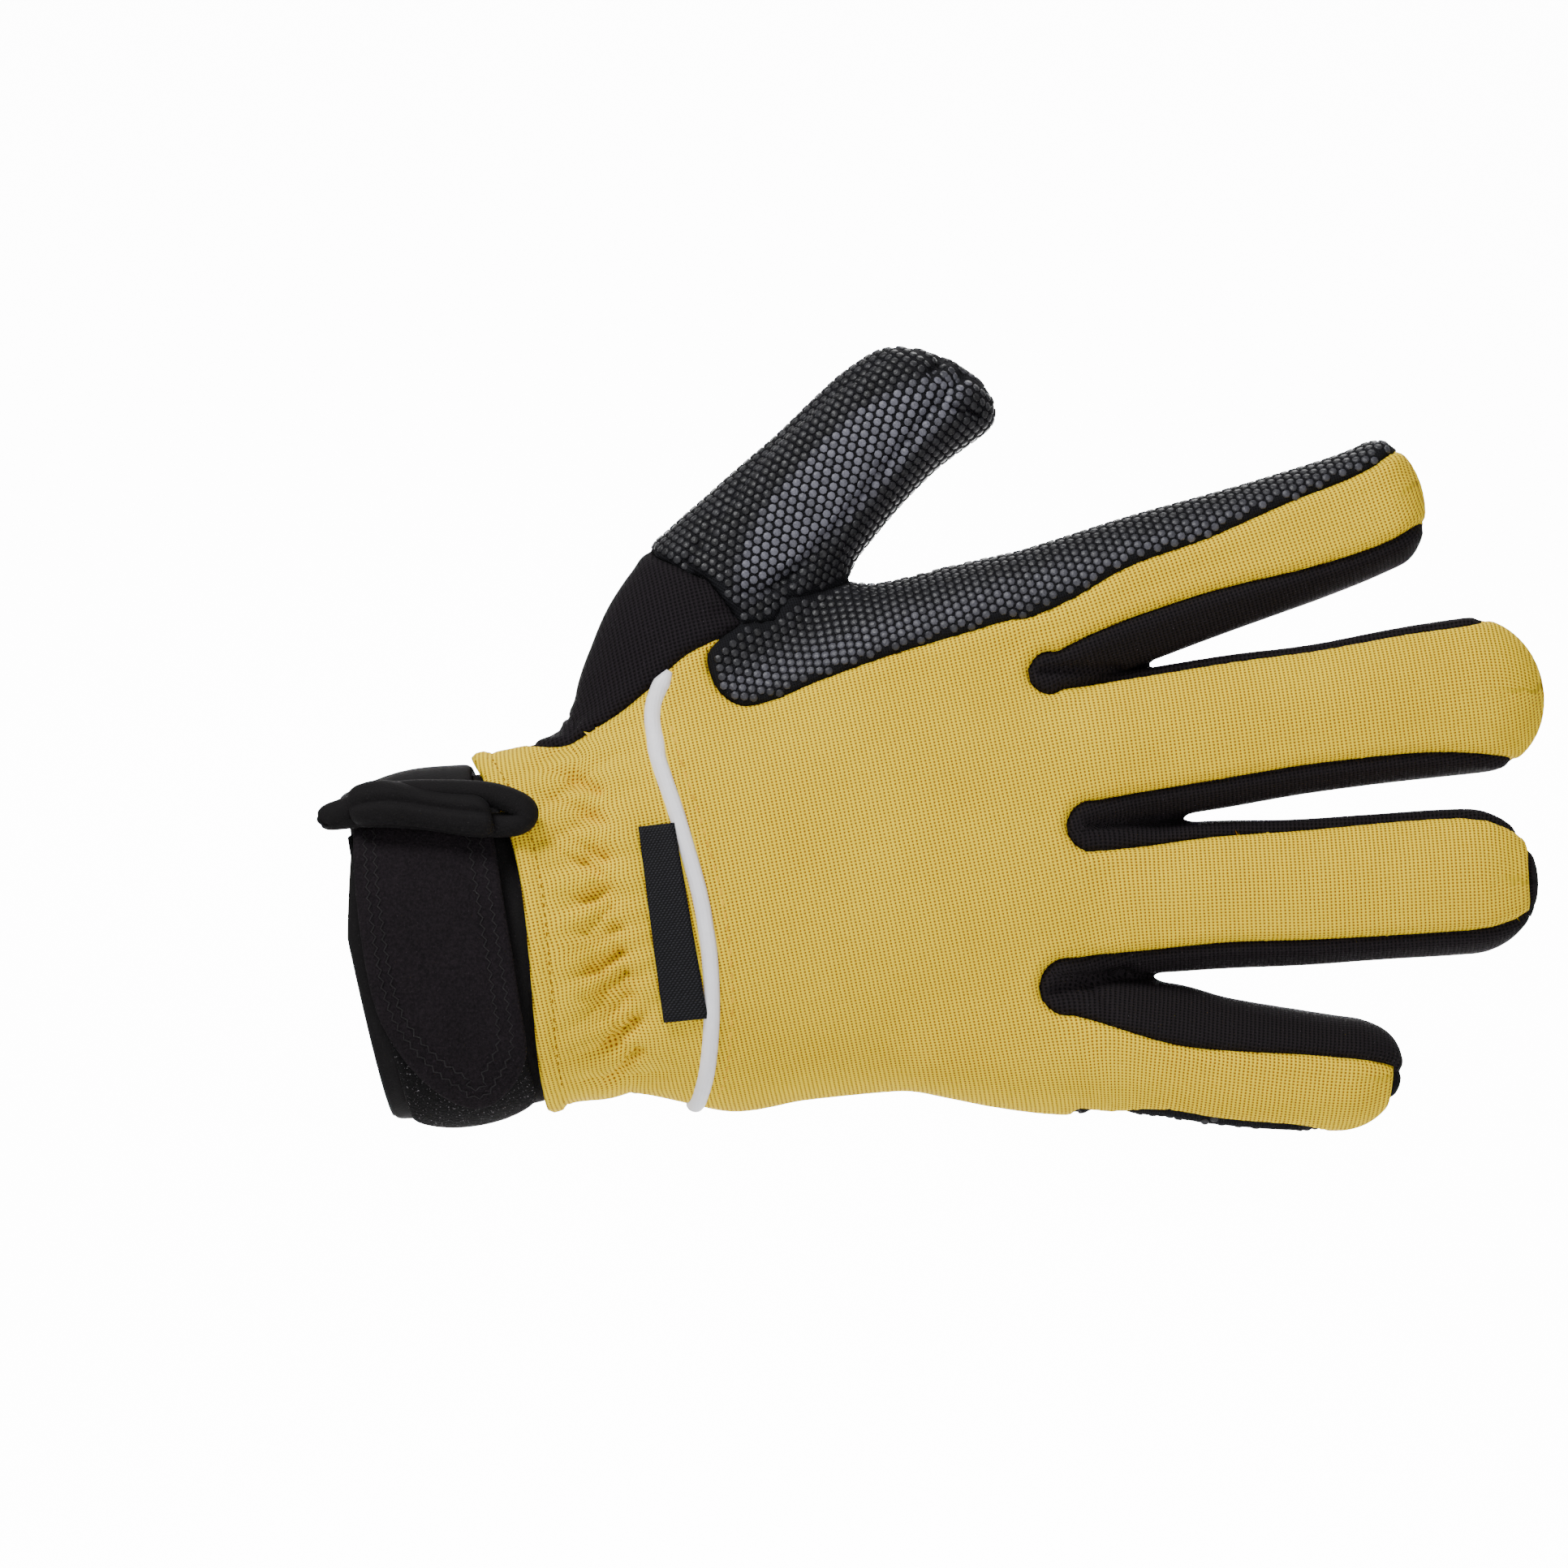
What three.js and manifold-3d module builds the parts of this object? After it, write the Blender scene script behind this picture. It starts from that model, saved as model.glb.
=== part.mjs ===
// A right-hand fishing glove in the form that a hand gives it, hollow and open at the wrist.
// Its back faces -Y, its fingers point along +X and its thumb along +Z. Lengths are in millimetres.
// The origin is the middle of the wrist opening. The hand's own axis rises from +X by handTilt.

import * as THREE from "three";
import { mergeVertices } from "three/addons/utils/BufferGeometryUtils.js";
import Module from "manifold-3d";

const wasm = await Module();
wasm.setup();

// Hand and wrist
const handTilt = 12.5;
const handLength = 160;
const palmHalf = 52;
const palmDepth = 20;
const clothWall = 1.6;
const seamGap = 0.3;
const hemClearance = 0.5;
const sideSeamDepth = 1.2;
const palmSeamDepth = 5.5;
const ruffleHeight = 1.0;
const ruffleSpan = 8;

// Digits: length from the root inside the hand, half width, half thickness, and angle off the hand's axis
const indexLength = 106;
const indexHalf = 13.8;
const indexDeep = 10;
const middleLength = 120.8;
const middleHalf = 14.9;
const middleDeep = 10.5;
const ringLength = 117.6;
const ringHalf = 14.5;
const ringDeep = 10.2;
const littleLength = 90.4;
const littleHalf = 12.6;
const littleDeep = 9.4;
const thumbLength = 103.5;
const thumbHalf = 13.2;
const thumbDeep = 11.5;
const indexAngle = 6.7;
const middleAngle = -4.2;
const ringAngle = -9.5;
const littleAngle = -18;
const thumbAngle = 43;
const fingerRootDepth = -2.5;
const fingerTipDepth = 3.5;
const thumbRootDepth = 5;
const thumbTipDepth = 10;
const indexNose = 4;
const middleNose = 4.9;
const ringNose = 5.5;
const tipOverrun = 4;
const tipSetback = 1.6;
const gussetDepth = 14;

// Wrist closure
const bandLength = 37;
const bandWall = 2.4;
const bandLow = 31.2;
const bandHigh = 36.2;
const bandDeep = 20;
const hemOverlap = 11;
const padThickness = 1.2;
const padWidth = 25;
const tabThickness = 1.8;
const tabWidth = 28.6;
const strapWall = 2.2;
const strapWidth = 26;
const foldRadius = 4.4;
const foldLength = 42;
const padMiddle = 15.5;
const strapMiddle = 15;
const foldMiddle = 19.5;

// Trim
const pipingRadius = 1.7;
const labelWidth = 7.5;
const labelThickness = 0.9;
const labelLift = 0.5;

const squareness = 2.3;
const outside = { handSides: 36, digitSides: 16, shaftSteps: 5, capSteps: 3 };
const lining = { handSides: 24, digitSides: 12, shaftSteps: 3, capSteps: 3 };
const farAway = 120;

const tilt = THREE.MathUtils.degToRad(handTilt);

// Part-frame point from distances along the hand's axis, across it towards the thumb, and into the picture.
function place(along, across, depth) {
  return new THREE.Vector3(
    along * Math.cos(tilt) - across * Math.sin(tilt),
    depth,
    along * Math.sin(tilt) + across * Math.cos(tilt),
  );
}

// A smooth curve through one column of a table, as a function of the table's `at` column.
function column(rows, at, name) {
  const slope = (i) => {
    const a = rows[Math.max(0, i - 1)];
    const b = rows[Math.min(rows.length - 1, i + 1)];
    return (b[name] - a[name]) / (b[at] - a[at]);
  };
  return (x) => {
    let i = rows.findIndex((row) => row[at] > x) - 1;
    if (i === -2) i = rows.length - 2;
    if (i === -1) i = 0;
    const a = rows[i];
    const b = rows[i + 1];
    const span = b[at] - a[at];
    const u = Math.min(1, Math.max(0, (x - a[at]) / span));
    const rise = b[name] - a[name];
    const start = slope(i) * span;
    const end = slope(i + 1) * span;
    return a[name] + u * (start + u * (3 * rise - 2 * start - end + u * (start + end - 2 * rise)));
  };
}

// A closed three.js geometry as a solid, with the triangles that collapsed at a pole left out.
function solid(geometry) {
  const bare = new THREE.BufferGeometry();
  bare.setAttribute("position", geometry.getAttribute("position"));
  if (geometry.index) bare.setIndex(geometry.index);
  const merged = mergeVertices(bare, 1e-4);
  const kept = [];
  const corners = merged.index.array;
  for (let i = 0; i < corners.length; i += 3) {
    const [a, b, c] = [corners[i], corners[i + 1], corners[i + 2]];
    if (a !== b && b !== c && c !== a) kept.push(a, b, c);
  }
  return new wasm.Manifold(
    new wasm.Mesh({
      numProp: 3,
      vertProperties: merged.getAttribute("position").array,
      triVerts: new Uint32Array(kept),
    }),
  );
}

// A cylinder bent along a list of stations: pointAt(station, angle, radius) places each of its points.
function bentCylinder(stations, sides, pointAt) {
  const rows = stations.length - 1;
  const geometry = new THREE.CylinderGeometry(1, 1, 1, sides, rows);
  const position = geometry.getAttribute("position");
  for (let i = 0; i < position.count; i++) {
    const [x, y, z] = [position.getX(i), position.getY(i), position.getZ(i)];
    const station = stations[Math.round((y + 0.5) * rows)];
    const p = pointAt(station, Math.atan2(x, z), Math.min(1, Math.hypot(x, z)));
    position.setXYZ(i, p.x, p.y, p.z);
  }
  return solid(geometry);
}

// A flat box bent into a sheet: pointAt(u, v, w) places its points. Its inner face has w 0, its outer w 1.
function bentBox(lengthSteps, widthSteps, pointAt) {
  const geometry = new THREE.BoxGeometry(1, 1, 1, lengthSteps, widthSteps, 1);
  const position = geometry.getAttribute("position");
  for (let i = 0; i < position.count; i++) {
    const p = pointAt(position.getX(i) + 0.5, position.getY(i) + 0.5, position.getZ(i) + 0.5);
    position.setXYZ(i, p.x, p.y, p.z);
  }
  return solid(geometry);
}

// A prism along Y over an outline given as [along, across] pairs, from one depth to another.
function prism(outline, near = -farAway, far = farAway) {
  const shape = new THREE.Shape(
    outline.map(([along, across]) => {
      const p = place(along, across, 0);
      return new THREE.Vector2(p.x, p.z);
    }),
  );
  const geometry = new THREE.ExtrudeGeometry(shape, { depth: far - near, bevelEnabled: false });
  geometry.rotateX(Math.PI / 2);
  geometry.translate(0, far, 0);
  return solid(geometry);
}

// Superellipse coordinate: a cosine or sine pushed outwards, which makes a section squarer than an ellipse.
function pushed(value) {
  return Math.sign(value) * Math.abs(value) ** (2 / squareness);
}

// Hand sections, as shares of handLength, palmHalf and palmDepth: how far the little-finger edge, the thumb
// edge, the back and the palm stand from the hand's axis.
const hemStart = (bandLength - hemOverlap) / handLength;
const hemSeat = clothWall + seamGap;
const hemRow = {
  low: (bandLow + hemSeat) / palmHalf,
  high: (bandHigh + hemSeat) / palmHalf,
  back: (bandDeep + hemSeat) / palmDepth,
  palm: (bandDeep + hemSeat) / palmDepth,
};
const handRows = [
  { along: hemStart, ...hemRow },
  { along: bandLength / handLength + 0.012, ...hemRow },
  { along: 0.288, low: 0.63, high: 0.76, back: 1.03, palm: 1.05 },
  { along: 0.345, low: 0.72, high: 0.785, back: 1.02, palm: 1.12 },
  { along: 0.41, low: 0.8, high: 0.85, back: 0.97, palm: 1.2 },
  { along: 0.5, low: 0.817, high: 0.905, back: 0.9, palm: 1.25 },
  { along: 0.625, low: 0.865, high: 0.962, back: 0.85, palm: 1.15 },
  { along: 0.74, low: 0.985, high: 1.04, back: 0.8, palm: 1.0 },
  { along: 0.825, low: 1.055, high: 1.04, back: 0.73, palm: 0.86 },
  { along: 0.89, low: 1.07, high: 1.0, back: 0.6, palm: 0.68 },
  { along: 0.94, low: 0.98, high: 0.92, back: 0.42, palm: 0.47 },
  { along: 0.985, low: 0.86, high: 0.84, back: 0.24, palm: 0.24 },
  { along: 1.015, low: 0.72, high: 0.72, back: 0.06, palm: 0.06 },
];
const handLow = column(handRows, "along", "low");
const handHigh = column(handRows, "along", "high");
const handBack = column(handRows, "along", "back");
const handPalm = column(handRows, "along", "palm");
const elasticAt = 0.288;

// The elastic line gathers the wrist into ruffles, which fade away from it over ruffleSpan.
function ruffle(share, angle) {
  const fromElastic = ((share - elasticAt) * handLength) / ruffleSpan;
  const waves = outside.handSides / 2;
  return -ruffleHeight * (0.5 - 0.5 * Math.cos(waves * angle)) * Math.exp(-fromElastic * fromElastic);
}

// The knuckle line slants back towards the little finger.
const slantStart = 0.1;
const slantDepth = 12.5;
function slant(share, across) {
  const side = Math.min(1, Math.max(0, (-across / palmHalf - slantStart) / (0.6 - slantStart)));
  const grow = THREE.MathUtils.smoothstep(share, 0.62, 0.95);
  return slantDepth * side * side * grow;
}

function handPoint(share, angle, offset, radius = 1) {
  const low = handLow(share) * palmHalf;
  const high = handHigh(share) * palmHalf;
  const back = handBack(share) * palmDepth;
  const palm = handPalm(share) * palmDepth;
  const grown = offset + ruffle(share, angle);
  const halfWidth = Math.max(0.4, (high + low) / 2 + grown);
  const halfDepth = Math.max(0.4, (back + palm) / 2 + grown);
  const across = (high - low) / 2 + radius * halfWidth * pushed(Math.cos(angle));
  const depth = (palm - back) / 2 - radius * halfDepth * pushed(Math.sin(angle));
  return place(share * handLength - slant(share, across), across, depth);
}

// Rows along each digit, as shares of its length, half width and half thickness: the bow off its chord,
// its width and thickness, its depth off the hand's axis, and the two edges of the yellow strip on its back.
const fingerPitch = { root: fingerRootDepth, tip: fingerTipDepth };
const digits = {
  index: {
    root: { along: 0.75, across: 0.74 },
    length: indexLength, half: indexHalf, deep: indexDeep, angle: indexAngle, round: 0.62,
    rows: [
      { reach: 0, bow: 0, wide: 0.95, thick: 0.9, upper: 0.08, lower: -0.6 },
      { reach: 0.2, bow: -0.01, wide: 1.04, thick: 1, upper: 0.08, lower: -0.55 },
      { reach: 0.3, bow: -0.012, wide: 1.04, thick: 1, upper: 0.14, lower: -0.42 },
      { reach: 0.42, bow: -0.014, wide: 1.03, thick: 1, upper: 0.33, lower: -0.36 },
      { reach: 0.58, bow: -0.016, wide: 0.98, thick: 1, upper: 0.38, lower: -0.4 },
      { reach: 0.76, bow: -0.02, wide: 0.94, thick: 0.98, upper: 0.58, lower: -0.54 },
      { reach: 0.9, bow: -0.016, wide: 0.9, thick: 0.95, upper: 0.62, lower: -0.62 },
      { reach: 1, bow: 0, wide: 0.88, thick: 0.92, upper: 1.1, lower: -0.6 },
    ],
  },
  middle: {
    root: { along: 0.75, across: 0.275 },
    length: middleLength, half: middleHalf, deep: middleDeep, angle: middleAngle, round: 0.95,
    rows: [
      { reach: 0, bow: 0, wide: 0.92, thick: 0.9, upper: 0.9, lower: -0.7 },
      { reach: 0.2, bow: 0.003, wide: 0.97, thick: 1, upper: 0.93, lower: -0.66 },
      { reach: 0.45, bow: 0.005, wide: 0.99, thick: 1, upper: 0.93, lower: -0.62 },
      { reach: 0.62, bow: 0.006, wide: 0.97, thick: 0.98, upper: 0.95, lower: -0.63 },
      { reach: 0.8, bow: 0.008, wide: 1.02, thick: 0.96, upper: 0.95, lower: -0.7 },
      { reach: 0.92, bow: 0.006, wide: 1.03, thick: 0.92, upper: 0.96, lower: -0.88 },
      { reach: 1, bow: 0, wide: 1.02, thick: 0.9, upper: 1.1, lower: -1.1 },
    ],
  },
  ring: {
    root: { along: 0.72, across: -0.23 },
    length: ringLength, half: ringHalf, deep: ringDeep, angle: ringAngle, round: 0.95,
    rows: [
      { reach: 0, bow: 0, wide: 0.92, thick: 0.9, upper: 0.8, lower: -0.8 },
      { reach: 0.25, bow: 0.002, wide: 1.0, thick: 1, upper: 0.72, lower: -0.74 },
      { reach: 0.45, bow: 0.003, wide: 1.02, thick: 1, upper: 0.82, lower: -0.65 },
      { reach: 0.62, bow: 0, wide: 1.0, thick: 0.98, upper: 0.89, lower: -0.66 },
      { reach: 0.82, bow: 0.004, wide: 0.99, thick: 0.96, upper: 0.93, lower: -0.69 },
      { reach: 0.92, bow: 0.003, wide: 0.97, thick: 0.93, upper: 0.88, lower: -0.66 },
      { reach: 1, bow: 0, wide: 0.95, thick: 0.9, upper: 0.55, lower: -0.45 },
    ],
  },
  little: {
    root: { along: 0.69, across: -0.67 },
    length: littleLength, half: littleHalf, deep: littleDeep, angle: littleAngle, round: 0.9,
    rows: [
      { reach: 0, bow: 0, wide: 0.9, thick: 0.95, upper: 0.5, lower: -1.3 },
      { reach: 0.25, bow: 0.002, wide: 1.04, thick: 1.02, upper: 0.42, lower: -1.3 },
      { reach: 0.48, bow: 0.002, wide: 1.04, thick: 1.02, upper: 0.11, lower: -1.3 },
      { reach: 0.6, bow: -0.01, wide: 1.0, thick: 1, upper: 0.18, lower: -1.3 },
      { reach: 0.8, bow: -0.018, wide: 0.92, thick: 0.98, upper: 0.32, lower: -1.3 },
      { reach: 0.92, bow: -0.014, wide: 0.86, thick: 0.94, upper: 0.3, lower: -1.3 },
      { reach: 1, bow: 0, wide: 0.84, thick: 0.9, upper: 0.1, lower: -1.3 },
    ],
  },
  thumb: {
    root: { along: 0.4125, across: 0.42 },
    length: thumbLength, half: thumbHalf, deep: thumbDeep, angle: thumbAngle, round: 0.72,
    pitch: { root: thumbRootDepth, tip: thumbTipDepth },
    rows: [
      { reach: 0, bow: 0, wide: 1.75, thick: 1.35 },
      { reach: 0.155, bow: 0.06, wide: 1.72, thick: 1.42 },
      { reach: 0.285, bow: 0.1, wide: 1.6, thick: 1.38 },
      { reach: 0.41, bow: 0.12, wide: 1.38, thick: 1.2 },
      { reach: 0.52, bow: 0.118, wide: 1.18, thick: 1.08 },
      { reach: 0.66, bow: 0.098, wide: 1.05, thick: 1.02 },
      { reach: 0.82, bow: 0.068, wide: 1.0, thick: 1.0 },
      { reach: 0.93, bow: 0.03, wide: 0.94, thick: 0.95 },
      { reach: 1, bow: 0, wide: 0.88, thick: 0.9 },
    ],
  },
};
for (const digit of Object.values(digits)) {
  for (const name of ["bow", "wide", "thick", "upper", "lower"]) {
    if (name in digit.rows[0]) digit[name] = column(digit.rows, "reach", name);
  }
  digit.pitch ??= fingerPitch;
}

// Centre of a digit at a share of its length, as [along, across], and the direction across it.
function digitCentre(digit, reach) {
  const turn = THREE.MathUtils.degToRad(digit.angle);
  const [ahead, side] = [reach * digit.length, digit.bow(reach) * digit.length];
  return {
    along: digit.root.along * handLength + ahead * Math.cos(turn) - side * Math.sin(turn),
    across: digit.root.across * palmHalf + ahead * Math.sin(turn) + side * Math.cos(turn),
  };
}
function digitSide(digit, reach) {
  const step = 0.01;
  const a = digitCentre(digit, Math.max(0, reach - step));
  const b = digitCentre(digit, Math.min(1, reach + step));
  const length = Math.hypot(b.along - a.along, b.across - a.across);
  return { along: -(b.across - a.across) / length, across: (b.along - a.along) / length };
}

// Round fingertip: the share of the full section left at a distance from the tip.
function closing(digit, reach, inset) {
  const radius = digit.round * digit.half;
  const past = reach * digit.length - (digit.length - radius);
  const room = radius - inset;
  return past <= 0 ? 1 : Math.sqrt(Math.max(0, 1 - (past / room) ** 2));
}

function digitPoint(digit, reach, angle, offset, radius = 1) {
  const centre = digitCentre(digit, reach);
  const side = digitSide(digit, reach);
  const close = closing(digit, reach, Math.max(0, -offset));
  const halfWidth = (digit.half * digit.wide(reach) + offset) * close;
  const halfDepth = (digit.deep * digit.thick(reach) + offset) * close;
  const across = radius * halfWidth * pushed(Math.cos(angle));
  const depth = digit.pitch.root + (digit.pitch.tip - digit.pitch.root) * reach ** 2
    - radius * halfDepth * pushed(Math.sin(angle));
  return place(centre.along + side.along * across, centre.across + side.across * across, depth);
}

// A digit as far as its round tip, then the tip in steps of equal turn. The thumb bends in short steps.
function digitSolid(digit, inset, facets) {
  const tip = 1 - inset / digit.length;
  const bend = 1 - (digit.round * digit.half) / digit.length;
  const shaftSteps = digit === digits.thumb ? outside.shaftSteps : facets.shaftSteps;
  const stations = [];
  for (let i = 0; i < shaftSteps; i++) stations.push((i / shaftSteps) * bend);
  for (let i = 0; i <= facets.capSteps; i++) {
    stations.push(bend + (tip - bend) * Math.sin(((i / facets.capSteps) * Math.PI) / 2));
  }
  return bentCylinder(stations, facets.digitSides, (reach, angle, radius) =>
    digitPoint(digit, reach, angle, -inset, radius));
}

const outsideStations = [
  0.235, 0.262, elasticAt, 0.314, 0.345, 0.42, 0.52, 0.63, 0.73, 0.82, 0.88, 0.94, 0.985,
];
const liningStations = [0.235, elasticAt, 0.345, 0.5, 0.63, 0.75, 0.85, 0.93, 0.985];
function handSolid(inset, facets) {
  const overrun = inset ? -0.03 : 0;
  const between = inset ? liningStations : outsideStations;
  const stations = [hemStart + overrun, ...between, 1.012 - inset / handLength];
  return bentCylinder(stations, facets.handSides, (share, angle, radius) =>
    handPoint(share, angle, -inset, radius));
}

function union(solids) {
  return solids.reduce((sum, next) => sum.add(next));
}

// Wrist band: a neoprene tube that runs in under the hem.
const bandRows = [
  { along: -0.03, low: 0.93, high: 0.92, deep: 0.98 },
  { along: 0.4, low: 1.03, high: 0.97, deep: 1 },
  { along: 0.8, low: 1, high: 1, deep: 1 },
  { along: 1, low: 1, high: 1, deep: 1 },
];
const bandStretchLow = column(bandRows, "along", "low");
const bandStretchHigh = column(bandRows, "along", "high");
const bandStretchDeep = column(bandRows, "along", "deep");
function bandPoint(share, angle, offset, radius = 1) {
  const low = bandLow * bandStretchLow(share);
  const high = bandHigh * bandStretchHigh(share);
  const halfWidth = radius * ((high + low) / 2 + offset);
  const halfDepth = radius * (bandDeep * bandStretchDeep(share) + offset);
  return place(share * bandLength, (high - low) / 2 + halfWidth * pushed(Math.cos(angle)),
    -halfDepth * pushed(Math.sin(angle)));
}
const bandSides = 26;
const bandTube = (inset, overrun) =>
  bentCylinder([-0.03 - overrun, 0.3, 0.65, 1 + overrun], bandSides, (share, angle, radius) =>
    bandPoint(share, angle, -inset, radius));
const wristBand = bandTube(0, 0).subtract(bandTube(bandWall, 0.05));

// The cuff's hem bows towards the fingers: where it lies along the hand.
const hemRows = [
  { across: -0.63, along: 0.182 },
  { across: -0.42, along: 0.189 },
  { across: -0.12, along: 0.203 },
  { across: 0.19, along: 0.215 },
  { across: 0.44, along: 0.214 },
  { across: 0.6, along: 0.2 },
  { across: 0.75, along: 0.181 },
];
const hemEdge = hemRows.map(({ across, along }) => [along * handLength, across * palmHalf]);
const hemFirst = hemEdge[0][0];
const hemLast = hemEdge[hemEdge.length - 1][0];
const behindHem = prism([[0, -farAway], [hemFirst, -farAway], ...hemEdge, [hemLast, farAway], [0, farAway]]);

const form = (inset, facets) => union([
  handSolid(inset, facets),
  ...Object.values(digits).map((digit) => digitSolid(digit, inset, facets)),
]);
const outer = form(0, outside);
const inner = form(clothWall, lining);
const shell = outer.subtract(inner).subtract(behindHem).subtract(bandTube(-hemClearance, 0.02));

// Seams, as shares of handLength and palmHalf
const gussetBackSeam = [
  [0.2, 0.745], [0.25, 0.742], [0.306, 0.722], [0.35, 0.752], [0.417, 0.845], [0.47, 0.935], [0.52, 0.975],
];
const gussetThumbSeam = [[0.548, 1.008], [0.517, 1.202], [0.458, 1.34]];
const thumbWebSeam = [[0.588, 0.995], [0.61, 1.062], [0.676, 1.075], [0.78, 1.19], [1.1, 1.5]];
const gripPatchEdge = [[0.52, 0.975], [0.5, 0.93], [0.495, 0.88], [0.5, 0.79], [0.513, 0.73], [0.531, 0.7]];
const gripSeam = [[0.616, 0.733], [0.7, 0.767], [0.784, 0.787], [0.87, 0.802]];
const scaled = (points) => points.map(([along, across]) => [along * handLength, across * palmHalf]);

// An outline of [along, across] points, moved outwards by a distance.
function grownOutline(points, distance) {
  const n = points.length;
  let area = 0;
  points.forEach(([x, y], i) => {
    const [nextX, nextY] = points[(i + 1) % n];
    area += x * nextY - nextX * y;
  });
  const sign = Math.sign(area);
  const normal = (a, b) => {
    const length = Math.hypot(b[0] - a[0], b[1] - a[1]);
    return [(sign * (b[1] - a[1])) / length, (-sign * (b[0] - a[0])) / length];
  };
  return points.map((point, i) => {
    const before = normal(points[(i + n - 1) % n], point);
    const after = normal(point, points[(i + 1) % n]);
    const [x, y] = [before[0] + after[0], before[1] + after[1]];
    const scale = distance / Math.max(0.35, (x * x + y * y) / 2);
    return [point[0] + x * scale, point[1] + y * scale];
  });
}

// Nose of each finger side on the back of the hand: its tip, as shares, and its radius.
const noses = [
  { along: 0.879, across: 0.573, radius: indexNose },
  { along: 0.883, across: -0.027, radius: middleNose },
  { along: 0.808, across: -0.604, radius: ringNose },
];

function disc(along, across, radius) {
  const points = [];
  const corners = 16;
  for (let i = 0; i < corners; i++) {
    const turn = (2 * Math.PI * i) / corners;
    points.push([along + radius * Math.cos(turn), across + radius * Math.sin(turn)]);
  }
  return points;
}

// The strip of the back panel on one finger, between its two seams.
function stripOutline(digit, grow) {
  const reaches = [0.02, 0.2, 0.34, 0.5, 0.66, 0.82, 0.93, 1];
  const edge = (name, sign) => reaches.map((reach) => {
    const centre = digitCentre(digit, reach);
    const side = digitSide(digit, reach);
    const out = digit[name](reach) * digit.half * digit.wide(reach) + sign * grow;
    const ends = reach === 1 ? (digit.openTip ? tipOverrun : grow - tipSetback) : 0;
    return [centre.along + side.along * out + ends * side.across,
      centre.across + side.across * out - ends * side.along];
  });
  return [...edge("upper", 1), ...edge("lower", -1).reverse()];
}
digits.index.openTip = true;
digits.middle.openTip = true;

function backRegion(grow) {
  const depth = sideSeamDepth + grow;
  const handOutline = [
    [0.1, -1.6], [0.1, 1.1], [0.4, 1.1], ...gripPatchEdge, ...gripSeam,
    [noses[0].along + 0.025, 0.79], [noses[1].along + 0.031, 0], [noses[2].along + 0.034, -0.604],
    [0.8, -1.6],
  ];
  const hand = prism(grownOutline(scaled(handOutline), grow), -farAway, depth);
  const strips = [digits.index, digits.middle, digits.ring, digits.little].map((digit) =>
    prism(stripOutline(digit, grow), -farAway, depth));
  const cuts = noses.map((nose) =>
    prism(disc(nose.along * handLength + nose.radius, nose.across * palmHalf, nose.radius - grow)));
  return union([hand, ...strips]).subtract(union(cuts));
}

// Between the middle lines of two neighbouring fingers.
function betweenRegion(upper, lower, nose, grow) {
  const line = (digit, sign) => [-0.05, 0.25, 0.5, 0.75, 1, 1.2].map((reach) => {
    const centre = digitCentre(digit, Math.min(1, Math.max(0, reach)));
    const turn = THREE.MathUtils.degToRad(digit.angle);
    const extra = (reach - Math.min(1, Math.max(0, reach))) * digit.length;
    return [centre.along + extra * Math.cos(turn), centre.across + extra * Math.sin(turn) + sign * grow];
  });
  const start = nose.along * handLength - seamGap;
  const upperLine = line(upper, 1).filter(([along]) => along > start);
  const lowerLine = line(lower, -1).filter(([along]) => along > start);
  const [upperStart, lowerStart] = [upperLine[0][1] - nose.radius / 2, lowerLine[0][1] + nose.radius / 2];
  return prism(
    [
      [start - grow, lowerStart - grow], [start - grow, upperStart + grow],
      ...upperLine, ...lowerLine.reverse(),
    ],
    -farAway,
    palmSeamDepth + grow,
  );
}

const beyondThumb = [[1.1, 2.6], [0.35, 2.6]];
const thumbOutline = scaled([
  [0.4, 1.75], [0.458, 1.34], [0.517, 1.202], [0.548, 1.008], ...thumbWebSeam, ...beyondThumb,
]);
const gussetOutline = scaled([...gussetBackSeam, ...gussetThumbSeam, [0.4, 1.75], [0.1, 1.75], [0.1, 0.8]]);
const thumbRegion = (grow) => prism(grownOutline(thumbOutline, grow));
const gussetRegion = (grow) => prism(grownOutline(gussetOutline, grow), -farAway, gussetDepth + grow);

// The piping runs across the back from the little-finger edge to the gusset: where it lies along the hand.
const pipingRows = [
  { across: -0.8, along: 0.348 },
  { across: -0.73, along: 0.367 },
  { across: -0.6, along: 0.39 },
  { across: -0.3, along: 0.417 },
  { across: 0.01, along: 0.427 },
  { across: 0.33, along: 0.421 },
  { across: 0.69, along: 0.411 },
  { across: 0.81, along: 0.423 },
  { across: 0.9, along: 0.452 },
];
const pipingAlong = column(pipingRows, "across", "along");
function wristRegion(grow) {
  const edge = pipingRows.map(({ across, along }) => [along * handLength + grow, across * palmHalf]);
  const [first, last] = [edge[0], edge[edge.length - 1]];
  const start = first[0] - pipingRadius;
  const end = last[0] + 3 * pipingRadius;
  return prism([[0, -farAway], [start, -farAway], ...edge, [end, farAway], [0, farAway]]);
}

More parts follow.
